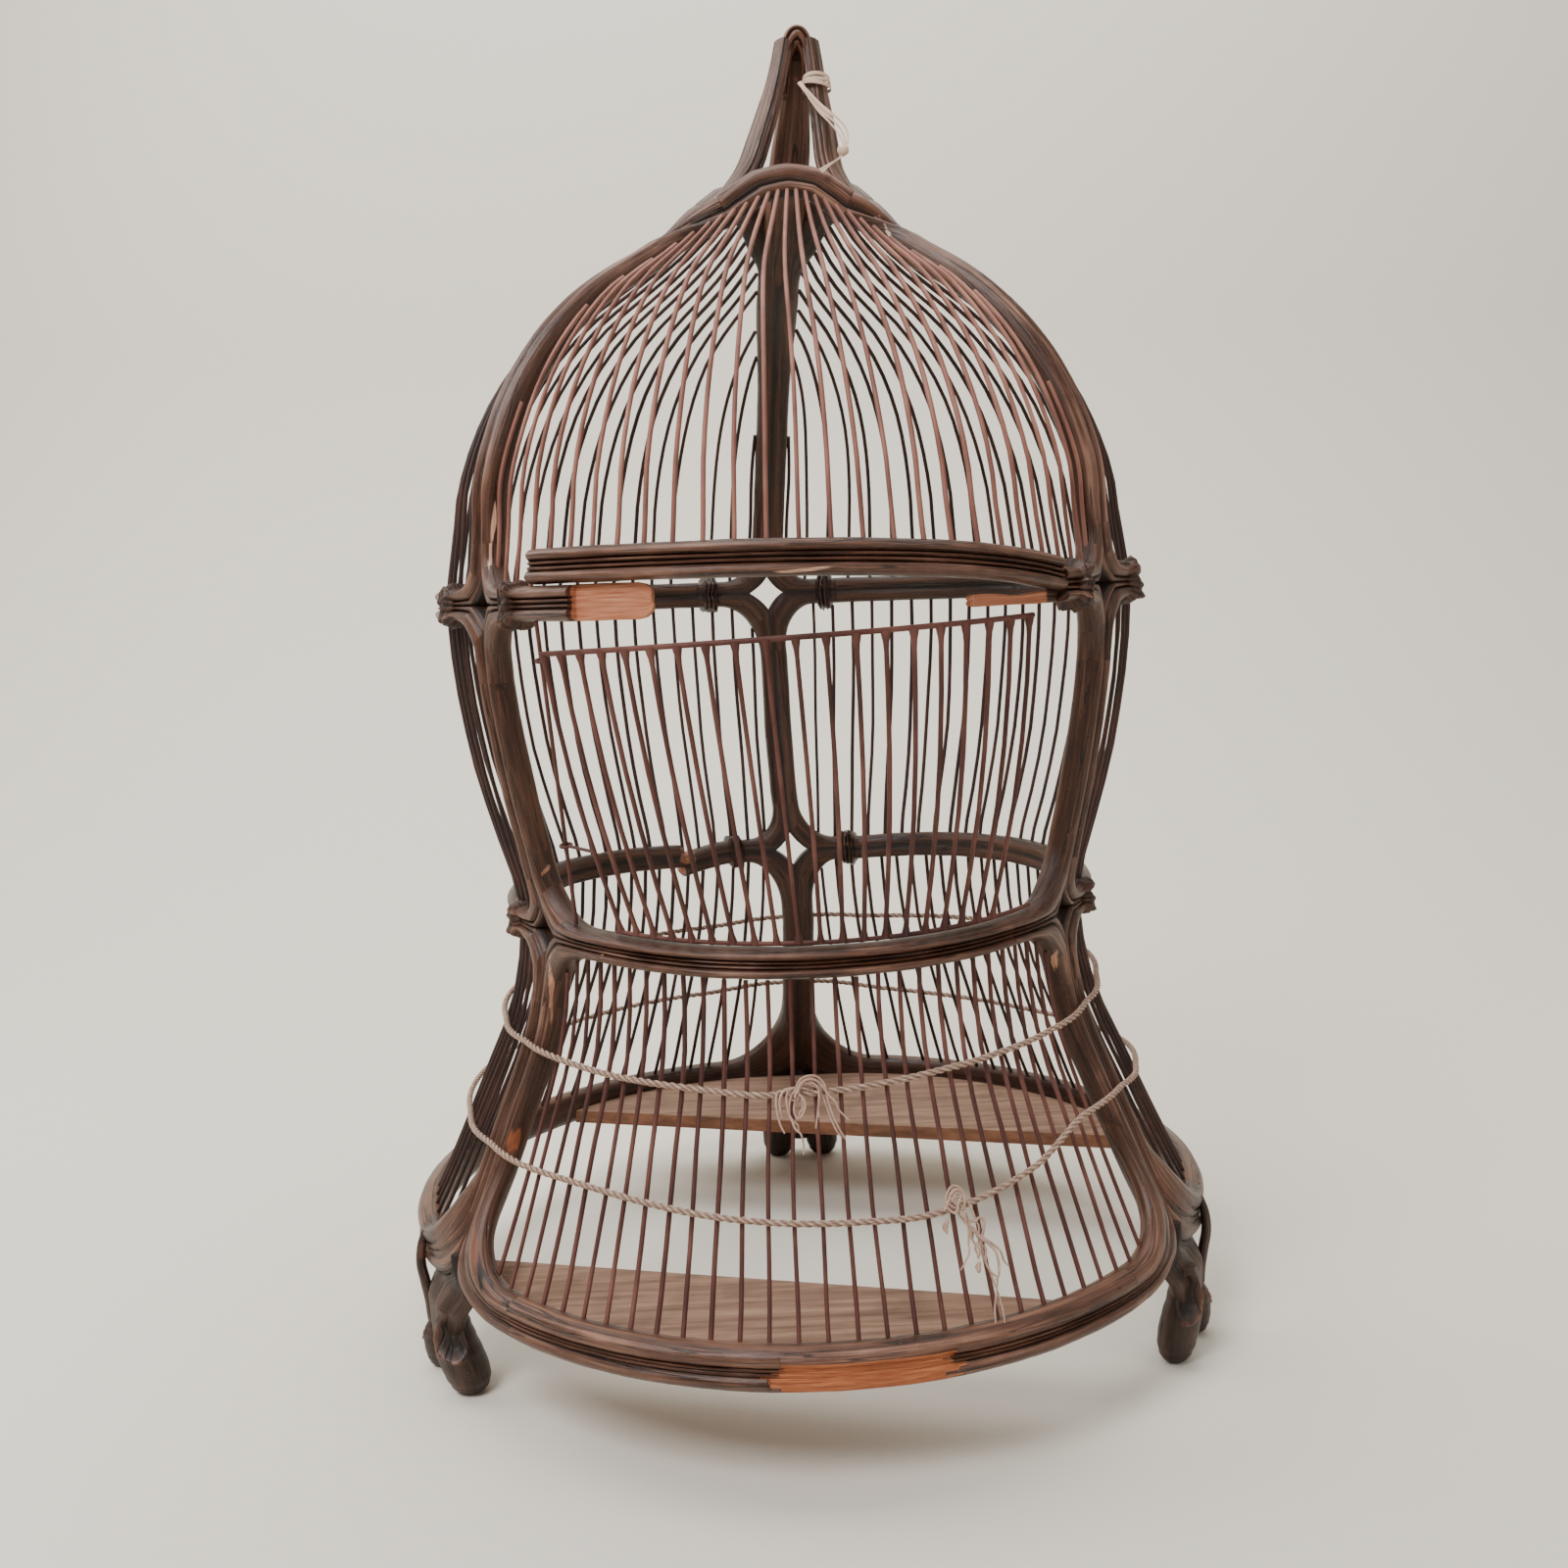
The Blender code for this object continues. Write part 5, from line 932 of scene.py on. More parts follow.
def addLeg(number):
    carving = Carving()
    rings = []
    end = levelAt(cage["topHeight"] - leg["topDrop"][number])
    for share in evenly(0.0, 1.0, leg["stations"]):
        narrowing = smoothStep((share - 0.5) / 0.5)
        width = mix(leg["footHalfWidth"], leg["halfWidth"], smoothStep(share * 4.0))
        width = mix(width, leg["topHalfWidth"], narrowing) * leg["widths"][number]
        rings.append(legRing(number, mix(crownLevel - leg["root"], end, share), width,
                             mix(leg["halfThickness"], leg["topHalfThickness"], narrowing)))
    carving.loft(rings)
    carving.finish("leg_" + ribNames[number], stainedWood, rough=toolMarks["frame"])


def addRib(number):
    carving = Carving()
    skirt, barrel, dome = rib["skirtHalfWidth"], rib["barrelHalfWidth"], rib["domeHalfWidth"]
    sizes = filletSizes(number, waist=True)
    waistEnds = junction(carving, number, waistLevel, rib["waistHalfHeight"], {1: barrel, -1: skirt}, sizes,
                         waistStubs(number))
    shoulderEnds = junction(carving, number, shoulderLevel, rib["shoulderHalfHeight"], {1: dome, -1: barrel},
                            filletSizes(number), shoulderStubs(number))
    down = rib["lowerFillet"][1]
    skirtCount, barrelCount, domeCount = rib["stations"]
    first = joinedRing(footStrandRing(number, -1, 0.0), footStrandRing(number, 1, 0.0))
    rings = stemRings(number, rib["splitHeight"], waistLevel - down, skirtCount, skirt)
    carving.loft([first, *rings, waistEnds[-1]], openEnds)
    start = waistLevel + max(sizes[-1, 1][1], sizes[1, 1][1])
    rings = stemRings(number, start, shoulderLevel - down, barrelCount, barrel)
    carving.loft([waistEnds[1], *rings, shoulderEnds[-1]], openEnds)
    rings = [shoulderEnds[1]]
    for level in evenly(shoulderLevel + rib["upperFillet"][1], crownLevel, domeCount)[1:]:
        # the back rib spreads to fill its place under the arches
        spread = smoothStep((level - crownLevel + rib["spreadReach"]) / rib["spreadReach"]) if number == 0 else 0.0
        rings.append(stemRing(number, level, shareAt(widthTable, level) + rib["crownSpread"] * spread))
    carving.loft(rings, openEnds)
    for side in (-1, 1):
        crownStrand(carving, number, side)
        rimStrand(carving, number, side)
    return carving.finishWood("rib_" + ribNames[number])


ribPieces = []
for number in range(3):
    ribPieces.append(addRib(number))
    addLeg(number)
print("ribs and handle legs carved")

# Rails between the ribs, the base rim and the arches under the handle
rail = {"gap": 0.0002, "leftRise": 0.0040, "rightRise": 0.0060, "frontSag": 0.0025, "stations": 70,
        "looseStations": 90, "waistTorn": 0.002}
stubEnd = rib["stubLength"] + rail["gap"]
frontStart = rib["stubLength"] + rib["plainStub"] + rail["gap"]
waistStart = acrossAt(0, waistLevel, brokenRail["waistLap"]) + rail["gap"]
pieces = {}


def railPlace(side, level, starts, lift, share, across, along, depth):
    # lift is how far the rail rises in its middle
    ownLevel = level + along + lift * 4.0 * share * (1.0 - share)
    start, end = (ribAzimuth(number, ownLevel) + way * math.degrees(reach / radiusAt(ownLevel))
                  for number, way, reach in zip(sideRibs[side], (1, -1), starts))
    end += 360.0 if end < start else 0.0
    return place(mix(start, end, share), ownLevel, depth)


def looseLift(azimuth):
    share = (azimuth - brokenRail["looseLeft"]) / (brokenRail["looseRight"] - brokenRail["looseLeft"])
    return mix(brokenRail["looseLiftLeft"], brokenRail["looseLiftRight"], share ** 4)


def loosePlace(azimuth, across, along, depth):
    return place(azimuth, shoulderLevel + looseLift(azimuth) + along, depth)


def addRail(name, halfHeight, where, stations, ends=(0.0, 0.0)):
    carving = Carving()
    carving.loft([pairRing(functools.partial(where, station), (0.0, 0.0), ((0.0, halfHeight), (0.0, -halfHeight)),
                           rib["halfDepth"]) for station in stations], ends)
    pieces[name] = carving.finishWood(name)


def addSolid(name, rings, rough=toolMarks["frame"]):
    carving = Carving()
    carving.loft(rings)
    pieces[name] = carving.finishWood(name, rough)


for name, side, level, starts, lift, torn in (
        ("shoulder_rail_left", 0, shoulderLevel, (stubEnd, stubEnd), 0.0, 0.0),
        ("shoulder_rail_right", 2, shoulderLevel, (stubEnd, stubEnd), 0.0, 0.0),
        ("waist_rail_left", 0, waistLevel, (waistStart, stubEnd), rail["leftRise"], rail["waistTorn"]),
        ("waist_rail_front", 1, waistLevel, (frontStart, frontStart), -rail["frontSag"], 0.0),
        ("waist_rail_right", 2, waistLevel, (stubEnd, stubEnd), rail["rightRise"], 0.0)):
    addRail(name, rib["shoulderHalfHeight" if level == shoulderLevel else "waistHalfHeight"],
            functools.partial(railPlace, side, level, starts, lift), evenly(0.0, 1.0, rail["stations"]), (torn, 0.0))
addRail("shoulder_rail_loose", rib["shoulderHalfHeight"], loosePlace,
        evenly(brokenRail["looseLeft"], brokenRail["looseRight"], rail["looseStations"]), (rib["torn"], rib["torn"]))

rimTrim = math.degrees((rib["spread"] + rib["plainStub"] + rail["gap"]) / cage["rimRadius"])
for label, middle in zip(sideNames, sideMiddles):
    torn = label == "front"
    azimuths = evenly(middle - 60.0 + rimTrim, middle + 60.0 - rimTrim, rim["stations"])
    if torn:
        for spot in (tornPatch["start"], tornPatch["end"]):
            azimuths += evenly(spot - tornPatch["edge"], spot + tornPatch["edge"], tornPatch["edgeStations"])
    addSolid("base_rim_" + label, [rimRing(azimuth, torn) for azimuth in sorted(azimuths)])
for label, middle in zip(sideNames, sideMiddles):
    addSolid("arch_" + label, [archRing(middle % 360.0, share, -share * rail["gap"])
                               for share in evenly(-1.0, 1.0, arch["stations"])], toolMarks["arch"])
print("rails, rim and arches carved")

# Crest of the handle: one reeded strand that runs up one leg, over the top and down the other, and a core behind it
# that the back leg runs into. The route's rows are across, height and half width.
crest = {"height": 0.0190, "front": -0.0022, "halfDepth": 0.0108, "endDepth": 0.62, "coreHalfWidth": 0.0105,
         "coreMiddle": 0.0058, "coreHalfDepth": 0.0072, "coreFoot": 0.0010, "coreTop": 0.0022,
         "stations": 90, "coreStations": 20, "coreSides": 32, "thinFrom": 0.42, "corePower": 2.4, "coreLeast": 0.08,
         "coreDark": 0.5,
         "route": ((-0.0062, 0.7590, 0.0018), (-0.0060, 0.7690, 0.0022), (-0.0057, 0.7780, 0.0028),
                   (-0.0050, 0.7850, 0.0042), (-0.0030, 0.7902, 0.0061), (0.0, 0.7926, 0.0071),
                   (0.0030, 0.7902, 0.0061), (0.0050, 0.7850, 0.0042), (0.0057, 0.7780, 0.0028),
                   (0.0060, 0.7690, 0.0022), (0.0062, 0.7590, 0.0018))}
crestSection = (
    (-1.00, 0.30, 0.2), (-0.92, 0.62, -0.3), (-0.78, 0.80, -0.8), (-0.60, 0.86, -0.6), (-0.46, 0.78, 0.2),
    (-0.37, 0.60, 1.0), (-0.28, 0.76, 0.3), (-0.10, 0.95, -0.6), (0.08, 1.00, -0.9), (0.24, 0.94, -0.4),
    (0.36, 0.78, 0.4), (0.44, 0.60, 1.0), (0.52, 0.70, 0.3), (0.68, 0.80, -0.6), (0.84, 0.66, -0.5),
    (0.96, 0.34, 0.1), (1.00, 0.0, 0.1), (0.96, -0.50, 0.2), (0.80, -0.80, 0.2), (0.50, -0.92, 0.2),
    (0.0, -0.95, 0.2), (-0.50, -0.92, 0.2), (-0.80, -0.80, 0.3), (-0.96, -0.50, 0.3), (-1.00, 0.0, 0.4))


def addCrest():
    carving = Carving()
    knots = [Vector(row) for row in crest["route"]]
    rings = []
    last = len(knots) - 1.0
    for position in evenly(0.0, last, crest["stations"]):
        spot = splinePoint(knots, position)
        slope = splinePoint(knots, min(position + 0.05, last)) - splinePoint(knots, max(position - 0.05, 0.0))
        outward = Vector((-slope.y, slope.x)).normalized()
        full = smoothStep(1.0 - abs(position / last - 0.5) / crest["thinFrom"])
        deep = crest["halfDepth"] * mix(crest["endDepth"], 1.0, full)
        ring = []
        for across, depth, dark in crestSection:
            x, z = spot.x + outward.x * spot.z * across, spot.y + outward.y * spot.z * across
            ring.append(toned((x + leanAt(z), crest["front"] - deep * depth, z), dark))
        rings.append(ring)
    carving.loft(rings)
    bottom = cage["topHeight"] - crest["height"] + crest["coreFoot"]
    rings = []
    for share in evenly(0.0, 1.0, crest["coreStations"]):
        width = max(math.sqrt(max(0.0, 1.0 - share ** crest["corePower"])), crest["coreLeast"])
        z = mix(bottom, cage["topHeight"] - crest["coreTop"], share)
        rings.append([toned((leanAt(z) + crest["coreHalfWidth"] * width * math.cos(turn),
                             crest["coreMiddle"] + crest["coreHalfDepth"] * width * math.sin(turn), z),
                            crest["coreDark"]) for turn in turnsOf(crest["coreSides"])])
    carving.loft(rings)
    carving.finishWood("handle_crest", toolMarks["small"])


addCrest()

# Feet: two volutes side by side under each base corner, and between them a leaf that goes on up as a tongue
foot = {"sole": 0.0003, "top": 0.0590, "tongueTop": 0.0840, "leafDepth": 0.0080, "tongueDepth": 0.0066,
        "leafFoot": 0.0140, "leafBend": 0.0480, "leafRadius": 0.2465, "tongueRadius": 0.2400, "overlap": 0.0035,
        "lean": 0.0060, "rimRadius": 0.245, "stations": 60, "sides": 64, "leafStations": 44, "leafSides": 40,
        "leanPower": 1.8, "dark": (0.66, 0.92), "lipHighlight": 1.35, "hollowWarmShade": 0.4, "leafReach": (0.50, 1.30),
        "leafPower": 0.8, "leafSpread": 0.010, "thinOver": 0.012, "stepOver": 0.016, "leafDark": (0.70, 0.92),
        "flute": 0.10, "flutes": 9.0,
        "bulb": ((0.0, 0.48), (0.03, 0.68), (0.09, 0.87), (0.20, 1.02), (0.36, 1.07), (0.52, 1.04), (0.68, 0.93),
                 (0.84, 0.78), (1.0, 0.52))}
# Each volute: across from the rib, radius at the sole and at the top, half width, half depth, height and free side
volutes = (((-0.0180, 0.2440, 0.2470, 0.0125, 0.0105, 0.0560, -1),
            (0.0180, 0.2440, 0.2470, 0.0125, 0.0105, 0.0560, 1)),
           ((-0.0390, 0.2475, 0.2500, 0.0086, 0.0080, 0.0330, -1),
            (0.0010, 0.2405, 0.2475, 0.0148, 0.0130, 0.0500, 1)),
           ((-0.0030, 0.2440, 0.2490, 0.0125, 0.0110, 0.0570, -1),
            (0.0370, 0.2485, 0.2500, 0.0086, 0.0082, 0.0350, 1)))
# The dent carved round a volute's free side: its middle and reach round and up the bulb, and its raised lip. A pair
# is where the lip fades and how fast.
dent = {"turn": 0.62, "turnReach": 0.88, "share": 0.74, "shareReach": 0.23, "depth": 0.0062, "lip": 0.0013,
        "soft": 0.40, "lipReach": 1.08, "lipWidth": 0.085, "lipTop": (0.90, 9.0), "lipSide": (0.15, 2.2),
        "hook": (0.62, 3.0)}
# The strand that falls from the rim's outer edge to a far volute: across, height, radius from the axis, half width
footStrand = {"ways": {1: -1.0, 2: 1.0}, "reed": 0.1, "stations": 50, "sides": 24, "reedWidth": 0.16,
              "reedCut": 0.30, "flat": 0.9, "dark": (0.55, 0.9),
              "route": ((0.0560, 0.0790, 0.2505, 0.0024), (0.0545, 0.0700, 0.2535, 0.0030),
                        (0.0520, 0.0600, 0.2545, 0.0033), (0.0485, 0.0500, 0.2530, 0.0034),
                        (0.0450, 0.0400, 0.2515, 0.0034), (0.0430, 0.0290, 0.2505, 0.0036),
                        (0.0420, 0.0180, 0.2495, 0.0034))}


def footSpot(number, across, height, radius):
    # bent round the axis, so that a foot follows the rim
    angle = math.radians(ribAzimuths[number]) + across / foot["rimRadius"]
    return Vector((radius * math.cos(angle), radius * math.sin(angle), height))


def voluteDent(turn, share):
    # how deep the carving goes at a turn round the bulb (0 towards its free side) and a share of its height, with the
    # shares of hollow and lip that carry painted shade and a painted highlight
    reach = math.hypot((turn - dent["turn"]) / dent["turnReach"], (share - dent["share"]) / dent["shareReach"])
    hollow = smoothStep((1.0 - reach) / dent["soft"])
    (top, topRate), (side, sideRate), (hook, hookRate) = dent["lipTop"], dent["lipSide"], dent["hook"]
    # the lip runs down the free edge and hooks in under the hollow
    lip = groove(reach, dent["lipReach"], dent["lipWidth"]) * smoothStep((top - share) * topRate)
    lip *= smoothStep((turn - side) * sideRate + (hook - share) * hookRate)
    return dent["depth"] * hollow - dent["lip"] * lip, hollow, lip


def voluteRings(spot, centre, soleRadius, topRadius, halfWidth, halfDepth, height, side):
    rings = []
    for share in evenly(0.0, 1.0, foot["stations"]):
        width = shareAt(foot["bulb"], share, smoothStep)
        middleRadius = mix(soleRadius, topRadius, smoothStep(share * 1.3))
        ring = []
        for turn in turnsOf(foot["sides"]):
            cut, dark, lip = voluteDent((turn + math.pi) % math.tau - math.pi, share)
            across = (halfWidth * width - cut) * math.cos(turn) - foot["lean"] * share ** foot["leanPower"]
            radius = middleRadius + (halfDepth * width - cut) * math.sin(turn)
            # painted shade in the dent's hollow, warmed like the inner faces, and a painted highlight along its lip
            ring.append(toned(spot(centre + side * across, mix(foot["sole"], height, share), radius),
                              mix(*foot["dark"], dark) - foot["lipHighlight"] * lip, 0.0, foot["hollowWarmShade"] * dark))
        rings.append(ring)
    return rings


def strandRings(spot, side):
    knots = [Vector(row) for row in footStrand["route"]]
    rows = [splinePoint(knots, position) for position in evenly(0.0, len(knots) - 1.0, footStrand["stations"])]
    path = [spot(row[0] * side, row[1], row[2]) for row in rows]
    toward = spot(-0.05 * side, 0.0, 1.0)
    rings = []
    for index, (centre, row) in enumerate(zip(path, rows)):
        across = headingAt(path, index).cross(toward).normalized()
        ring = []
        for angle in turnsOf(footStrand["sides"]):
            front = math.sin(angle)
            cut = groove(math.cos(angle), footStrand["reed"], footStrand["reedWidth"]) if front > 0.0 else 0.0
            point = (centre + across * (row[3] * math.cos(angle))
                     + toward * (row[3] * footStrand["flat"] * front * (1.0 - footStrand["reedCut"] * cut)))
            # painted shade darkens the reed's groove
            ring.append(toned(point, max(footStrand["dark"][0], footStrand["dark"][1] * cut)))
        rings.append(ring)
    return rings


def leafRings(spot, first, second):
    rings = []
    for height in evenly(foot["leafFoot"], foot["tongueTop"], foot["leafStations"]):
        share = min(1.0, (height - foot["leafFoot"]) / (foot["top"] - foot["leafFoot"]))
        above = max(0.0, (height - foot["top"]) / (foot["tongueTop"] - foot["top"]))
        centre = mix((first + second) / 2.0, 0.0, smoothStep(above * 2.0))
        reach = mix(*foot["leafReach"], share ** foot["leafPower"]) * (second - first) / 2.0
        reach += foot["leafSpread"] * share
        if above > 0.0:
            # between the two strands that the rib parts into
            lift = 1.0 - min(1.0, above) ** (1.0 / rib["notchPower"])
            gap = rib["spread"] * (1.0 - math.sqrt(1.0 - lift * lift)) ** rib["partPower"]
            reach = min(reach, gap + foot["overlap"])
        past = height - foot["leafBend"]
        thick = mix(foot["leafDepth"], foot["tongueDepth"], smoothStep(past / foot["thinOver"]))
        radius = mix(foot["leafRadius"], foot["tongueRadius"], smoothStep(past / foot["stepOver"]))
        dark = mix(*foot["leafDark"], smoothStep(above * 4.0))
        ring = []
        for turn in turnsOf(foot["leafSides"]):
            flute = foot["flute"] * math.cos(foot["flutes"] * math.cos(turn)) * share
            ring.append(toned(spot(centre + reach * math.cos(turn), height,
                                   radius + thick * (1.0 - flute) * math.sin(turn)), dark))
        rings.append(ring)
    return rings


def addFoot(number):
    carving = Carving()
    spot = functools.partial(footSpot, number)
    for volute in volutes[number]:
        carving.loft(voluteRings(spot, *volute))
    if number in footStrand["ways"]:
        carving.loft(strandRings(spot, footStrand["ways"][number]))
    carving.loft(leafRings(spot, *[volute[0] for volute in volutes[number]]))
    carving.finishWood("foot_" + ribNames[number], toolMarks["small"])


for number in range(3):
    addFoot(number)
print("crest and feet carved")

# Wires of the fixed grilles. Turns are degrees from a side's middle; a share of 1 or -1 is beside a rib.
wire = {"radius": 0.00135, "sides": 6, "domeWires": 27, "barrelWires": 27, "skirtWires": 29,
        "barrelTurn": 53.3, "skirtTurn": 49.5, "skirtTopTurn": 53.0, "skirtFoot": 0.004, "wobble": 0.0006,
        "room": 0.0012, "spread": 1.3, "spreadPower": 5.0, "overrun": 0.25, "margin": 1.0, "steps": (160, 90),
        "bend": 1.6, "wave": 0.7, "waves": 9.0, "uneven": (0.93, 1.07), "meet": 0.6,
        "dome": (18, 0.3), "skirt": (9, 0.3), "barrel": (9, 0.4)}
wireRandom = random.Random(7)


def treeOf(*objects):
    vertices, faces = [], []
    for item in objects:
        start = len(vertices)
        vertices += [vertex.co.copy() for vertex in item.data.vertices]
        faces += [[start + index for index in polygon.vertices] for polygon in item.data.polygons]
    return BVHTree.FromPolygons(vertices, faces)


def resample(points, count):
    lengths = runLengths(points)
    result, index = [], 0
    for step in range(count):
        wanted = lengths[-1] * step / (count - 1)
        while index < len(points) - 2 and lengths[index + 1] < wanted:
            index += 1
        span = lengths[index + 1] - lengths[index]
        result.append(points[index].lerp(points[index + 1], (wanted - lengths[index]) / span))
    return result


def tubeRings(points, radii, sides):
    rings = []
    normal = Vector((points[0].x, points[0].y, 0.001))
    for index, point in enumerate(points):
        direction = headingAt(points, index)
        normal = (normal - direction * normal.dot(direction)).normalized()
        across = direction.cross(normal)
        radius = radii if isinstance(radii, float) else radii[index]
        rings.append([toned(point + radius * (math.cos(turn) * normal + math.sin(turn) * across))
                      for turn in turnsOf(sides)])
    return rings


def untilInside(path, tree, first):
    # The path up to where it enters the wood, and a little on into it.
    for index in range(first, len(path)):
        if tree.find_nearest(path[index], wire["radius"] * wire["meet"])[0] is not None:
            return path[:index + 1]
    return path


def addWire(carving, path, tree, count, skip):
    # a slight bend and wave, and no two wires of quite the same thickness
    kept = resample(untilInside(path, tree, int(len(path) * skip)), count)
    side = Vector((-kept[0].y, kept[0].x, 0.0)).normalized()
    bend, wave = wireRandom.uniform(-1.0, 1.0), wireRandom.uniform(0.0, 6.0)
    for index, point in enumerate(kept):
        share = index / (count - 1)
        drift = wire["wobble"] * (wire["bend"] * bend * math.sin(math.pi * share)
                                  + wire["wave"] * math.sin(wave + share * wire["waves"]))
        kept[index] = point + side * drift * math.sin(math.pi * share) ** 0.5
    carving.loft(tubeRings(kept, wire["radius"] * wireRandom.uniform(*wire["uneven"]), wire["sides"]))


def turnToRib(side, share, level):
    azimuth = ribAzimuth(sideRibs[side][0 if share < 0.0 else 1], level)
    return abs((azimuth - sideMiddles[side] + 180.0) % 360.0 - 180.0)


def domeTurn(side, share, level):
    room = shareAt(widthTable, level) + wire["radius"] + wire["room"]
    return (turnToRib(side, share, level) - math.degrees(room / radiusAt(level))) * share


def domePath(side, share, start):
    # up to an arch or a rib; the wires fan out as they rise
    top = levelAt(cage["archHeight"])
    points = []
    for level in evenly(start, top, wire["steps"][0]):
        risen = (level - shoulderLevel) / (top - shoulderLevel)
        spread = 1.0 + wire["spread"] * max(risen, 0.0) ** wire["spreadPower"]
        if abs(share * spread) > 1.0 + wire["overrun"]:
            break
        points.append(place(sideMiddles[side] + domeTurn(side, share * spread, level), level))
    return points


def domeStart(side, share):
    # a wire stands on the rail, or on a rib's stub, and none stands on the gap between them
    turn = domeTurn(side, share, shoulderLevel)
    if side == 1:
        limit = sideMiddles[1] - brokenRail["looseLeft"] - wire["margin"]
    else:
        stub = math.degrees(rib["stubLength"] / radiusAt(shoulderLevel))
        limit = turnToRib(side, share, shoulderLevel) - stub - wire["margin"]
    if abs(turn) <= limit:
        return shoulderLevel + (looseLift(sideMiddles[1] + turn) if side == 1 else 0.0)
    return shoulderLevel if abs(turn) > limit + 2.0 * wire["margin"] else None


def straightPath(side, lowTurn, highTurn, lowLevel, highLevel):
    return [place(sideMiddles[side] + mix(lowTurn, highTurn, share), mix(lowLevel, highLevel, share))
            for share in evenly(0.0, 1.0, wire["steps"][1])]


def addGrille(kind, label, other, paths, material):
    # a kind's pair is how many stations a wire has, and the share of its path before it may meet wood
    tree = treeOf(*ribPieces, pieces[other + label])
    carving = Carving()
    for path in paths:
        addWire(carving, path, tree, *wire[kind])
    carving.finish(kind + "_wires_" + label, material, sharp=80.0)


# each grille takes the lit or the shaded copy of the wire by the side it stands on
for side, label in enumerate(sideNames):
    starts = [(share, domeStart(side, share)) for share in evenly(-1.0, 1.0, wire["domeWires"])]
    paths = [domePath(side, share, start) for share, start in starts if start is not None]
    addGrille("dome", label, "arch_", paths, litRustedWire if side == 1 else shadedWire)
    lows = evenly(-wire["skirtTurn"], wire["skirtTurn"], wire["skirtWires"])
    highs = evenly(-wire["skirtTopTurn"], wire["skirtTopTurn"], wire["skirtWires"])
    paths = [straightPath(side, low, high, wire["skirtFoot"], waistLevel) for low, high in zip(lows, highs)]
    addGrille("skirt", label, "waist_rail_", paths, halfShadedWire if side == 1 else shadedWire)
    if side != 1:
        turns = evenly(-wire["barrelTurn"], wire["barrelTurn"], wire["barrelWires"])
        paths = [straightPath(side, turn, turn, waistLevel, shoulderLevel) for turn in turns]
        addGrille("barrel", label, "shoulder_rail_", paths, shadedWire)
print("wires drawn")

# Wire door on its hinge wire. Each upright flares where it is soldered to the top and bottom wires.
door = {"left": 229.3, "right": 304.8, "footLeft": 234.7, "footRight": 315.0, "topLeft": 0.4327, "topRight": 0.4441,
        "gap": 0.0012, "wires": 20, "gather": 0.875, "topRadius": 0.0015, "overrun": 0.012,
        "rodTop": 228.0, "rodFoot": 221.5, "rodRadius": 0.0012, "eyes": (0.3240, 0.4290), "eyeRadius": 0.0030,
        "eyeWire": 0.0010, "stations": 60, "sides": 8, "uprightSides": 6, "eyeSteps": 24,
        "flare": ((0.0, 1.9), (0.012, 1.6), (0.03, 1.15), (0.06, 1.0), (0.2, 1.0), (0.4, 1.0), (0.6, 1.0), (0.8, 1.0),
                  (0.94, 1.0), (0.965, 1.25), (0.982, 1.75), (1.0, 2.1))}
rodTop = place(door["rodTop"], levelAt(cage["shoulderHeight"] - rib["shoulderHalfHeight"]))
rodFoot = place(door["rodFoot"], levelAt(cage["waistHeight"]))
rodDirection = (rodTop - rodFoot).normalized()


def doorFootLevel(azimuth):
    # just above the waist rail, which sags in the middle
    trim = math.degrees(frontStart / cage["waistRadius"])
    share = (azimuth - 210.0 - trim) / (120.0 - 2.0 * trim)
    return (waistLevel + rib["waistHalfHeight"] - rail["frontSag"] * 4.0 * share * (1.0 - share)
            + wire["radius"] + door["gap"])


def doorPoint(turn, rise, gather=1.0):
    low = mix(door["footLeft"], door["footRight"], turn * gather)
    top = levelAt(mix(door["topLeft"], door["topRight"], turn))
    return place(mix(low, mix(door["left"], door["right"], turn), rise), mix(doorFootLevel(low), top, rise))


def addEye(carving, height):
    # a ring round the hinge wire, and its shank to the door's side
    centre = rodFoot.lerp(rodTop, (height - rodFoot.z) / (rodTop.z - rodFoot.z))
    low, high = doorPoint(0.0, 0.0).z, doorPoint(0.0, 1.0).z
    stile = doorPoint(0.0, (height - low) / (high - low))
    first = rodDirection.orthogonal().normalized()
    second = rodDirection.cross(first).normalized()
    rings = []
    for angle in turnsOf(door["eyeSteps"]):
        outward = first * math.cos(angle) + second * math.sin(angle)
        rings.append([toned(centre + outward * (door["eyeRadius"] + door["eyeWire"] * math.cos(turn))
                            + rodDirection * door["eyeWire"] * math.sin(turn)) for turn in turnsOf(door["sides"])])
    carving.loft(rings + [rings[0]], openEnds)
    shank = [centre + (stile - centre).normalized() * door["eyeRadius"], centre.lerp(stile, 0.6), stile]
    carving.loft(tubeRings(shank, door["eyeWire"], door["sides"]))


def addDoor():
    carving = Carving()
    for rise, radius in ((0.0, wire["radius"]), (1.0, door["topRadius"])):
        shares = evenly(-door["overrun"], 1.0 + door["overrun"], door["stations"])
        carving.loft(tubeRings([doorPoint(share, rise) for share in shares], radius, door["sides"]))
    for share in evenly(0.0, 1.0, door["wires"]):
        carving.loft(tubeRings([doorPoint(share, rise, door["gather"]) for rise, size in door["flare"]],
                               [wire["radius"] * size for rise, size in door["flare"]], door["uprightSides"]))
    for height in door["eyes"]:
        addEye(carving, height)
    carving.finish("soldered_wire_door", halfShadedWire, ("wire_door",), body="door", sharp=80.0)
    carving = Carving()
    carving.loft(tubeRings([rodFoot, rodFoot.lerp(rodTop, 0.5), rodTop], door["rodRadius"], door["sides"]))
    carving.finish("hinge_wire", halfShadedWire, sharp=80.0)


addDoor()
print("door made")

# Floor boards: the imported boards' own outline, with worn edges
board = {"edge": 0.0007, "segments": 2}


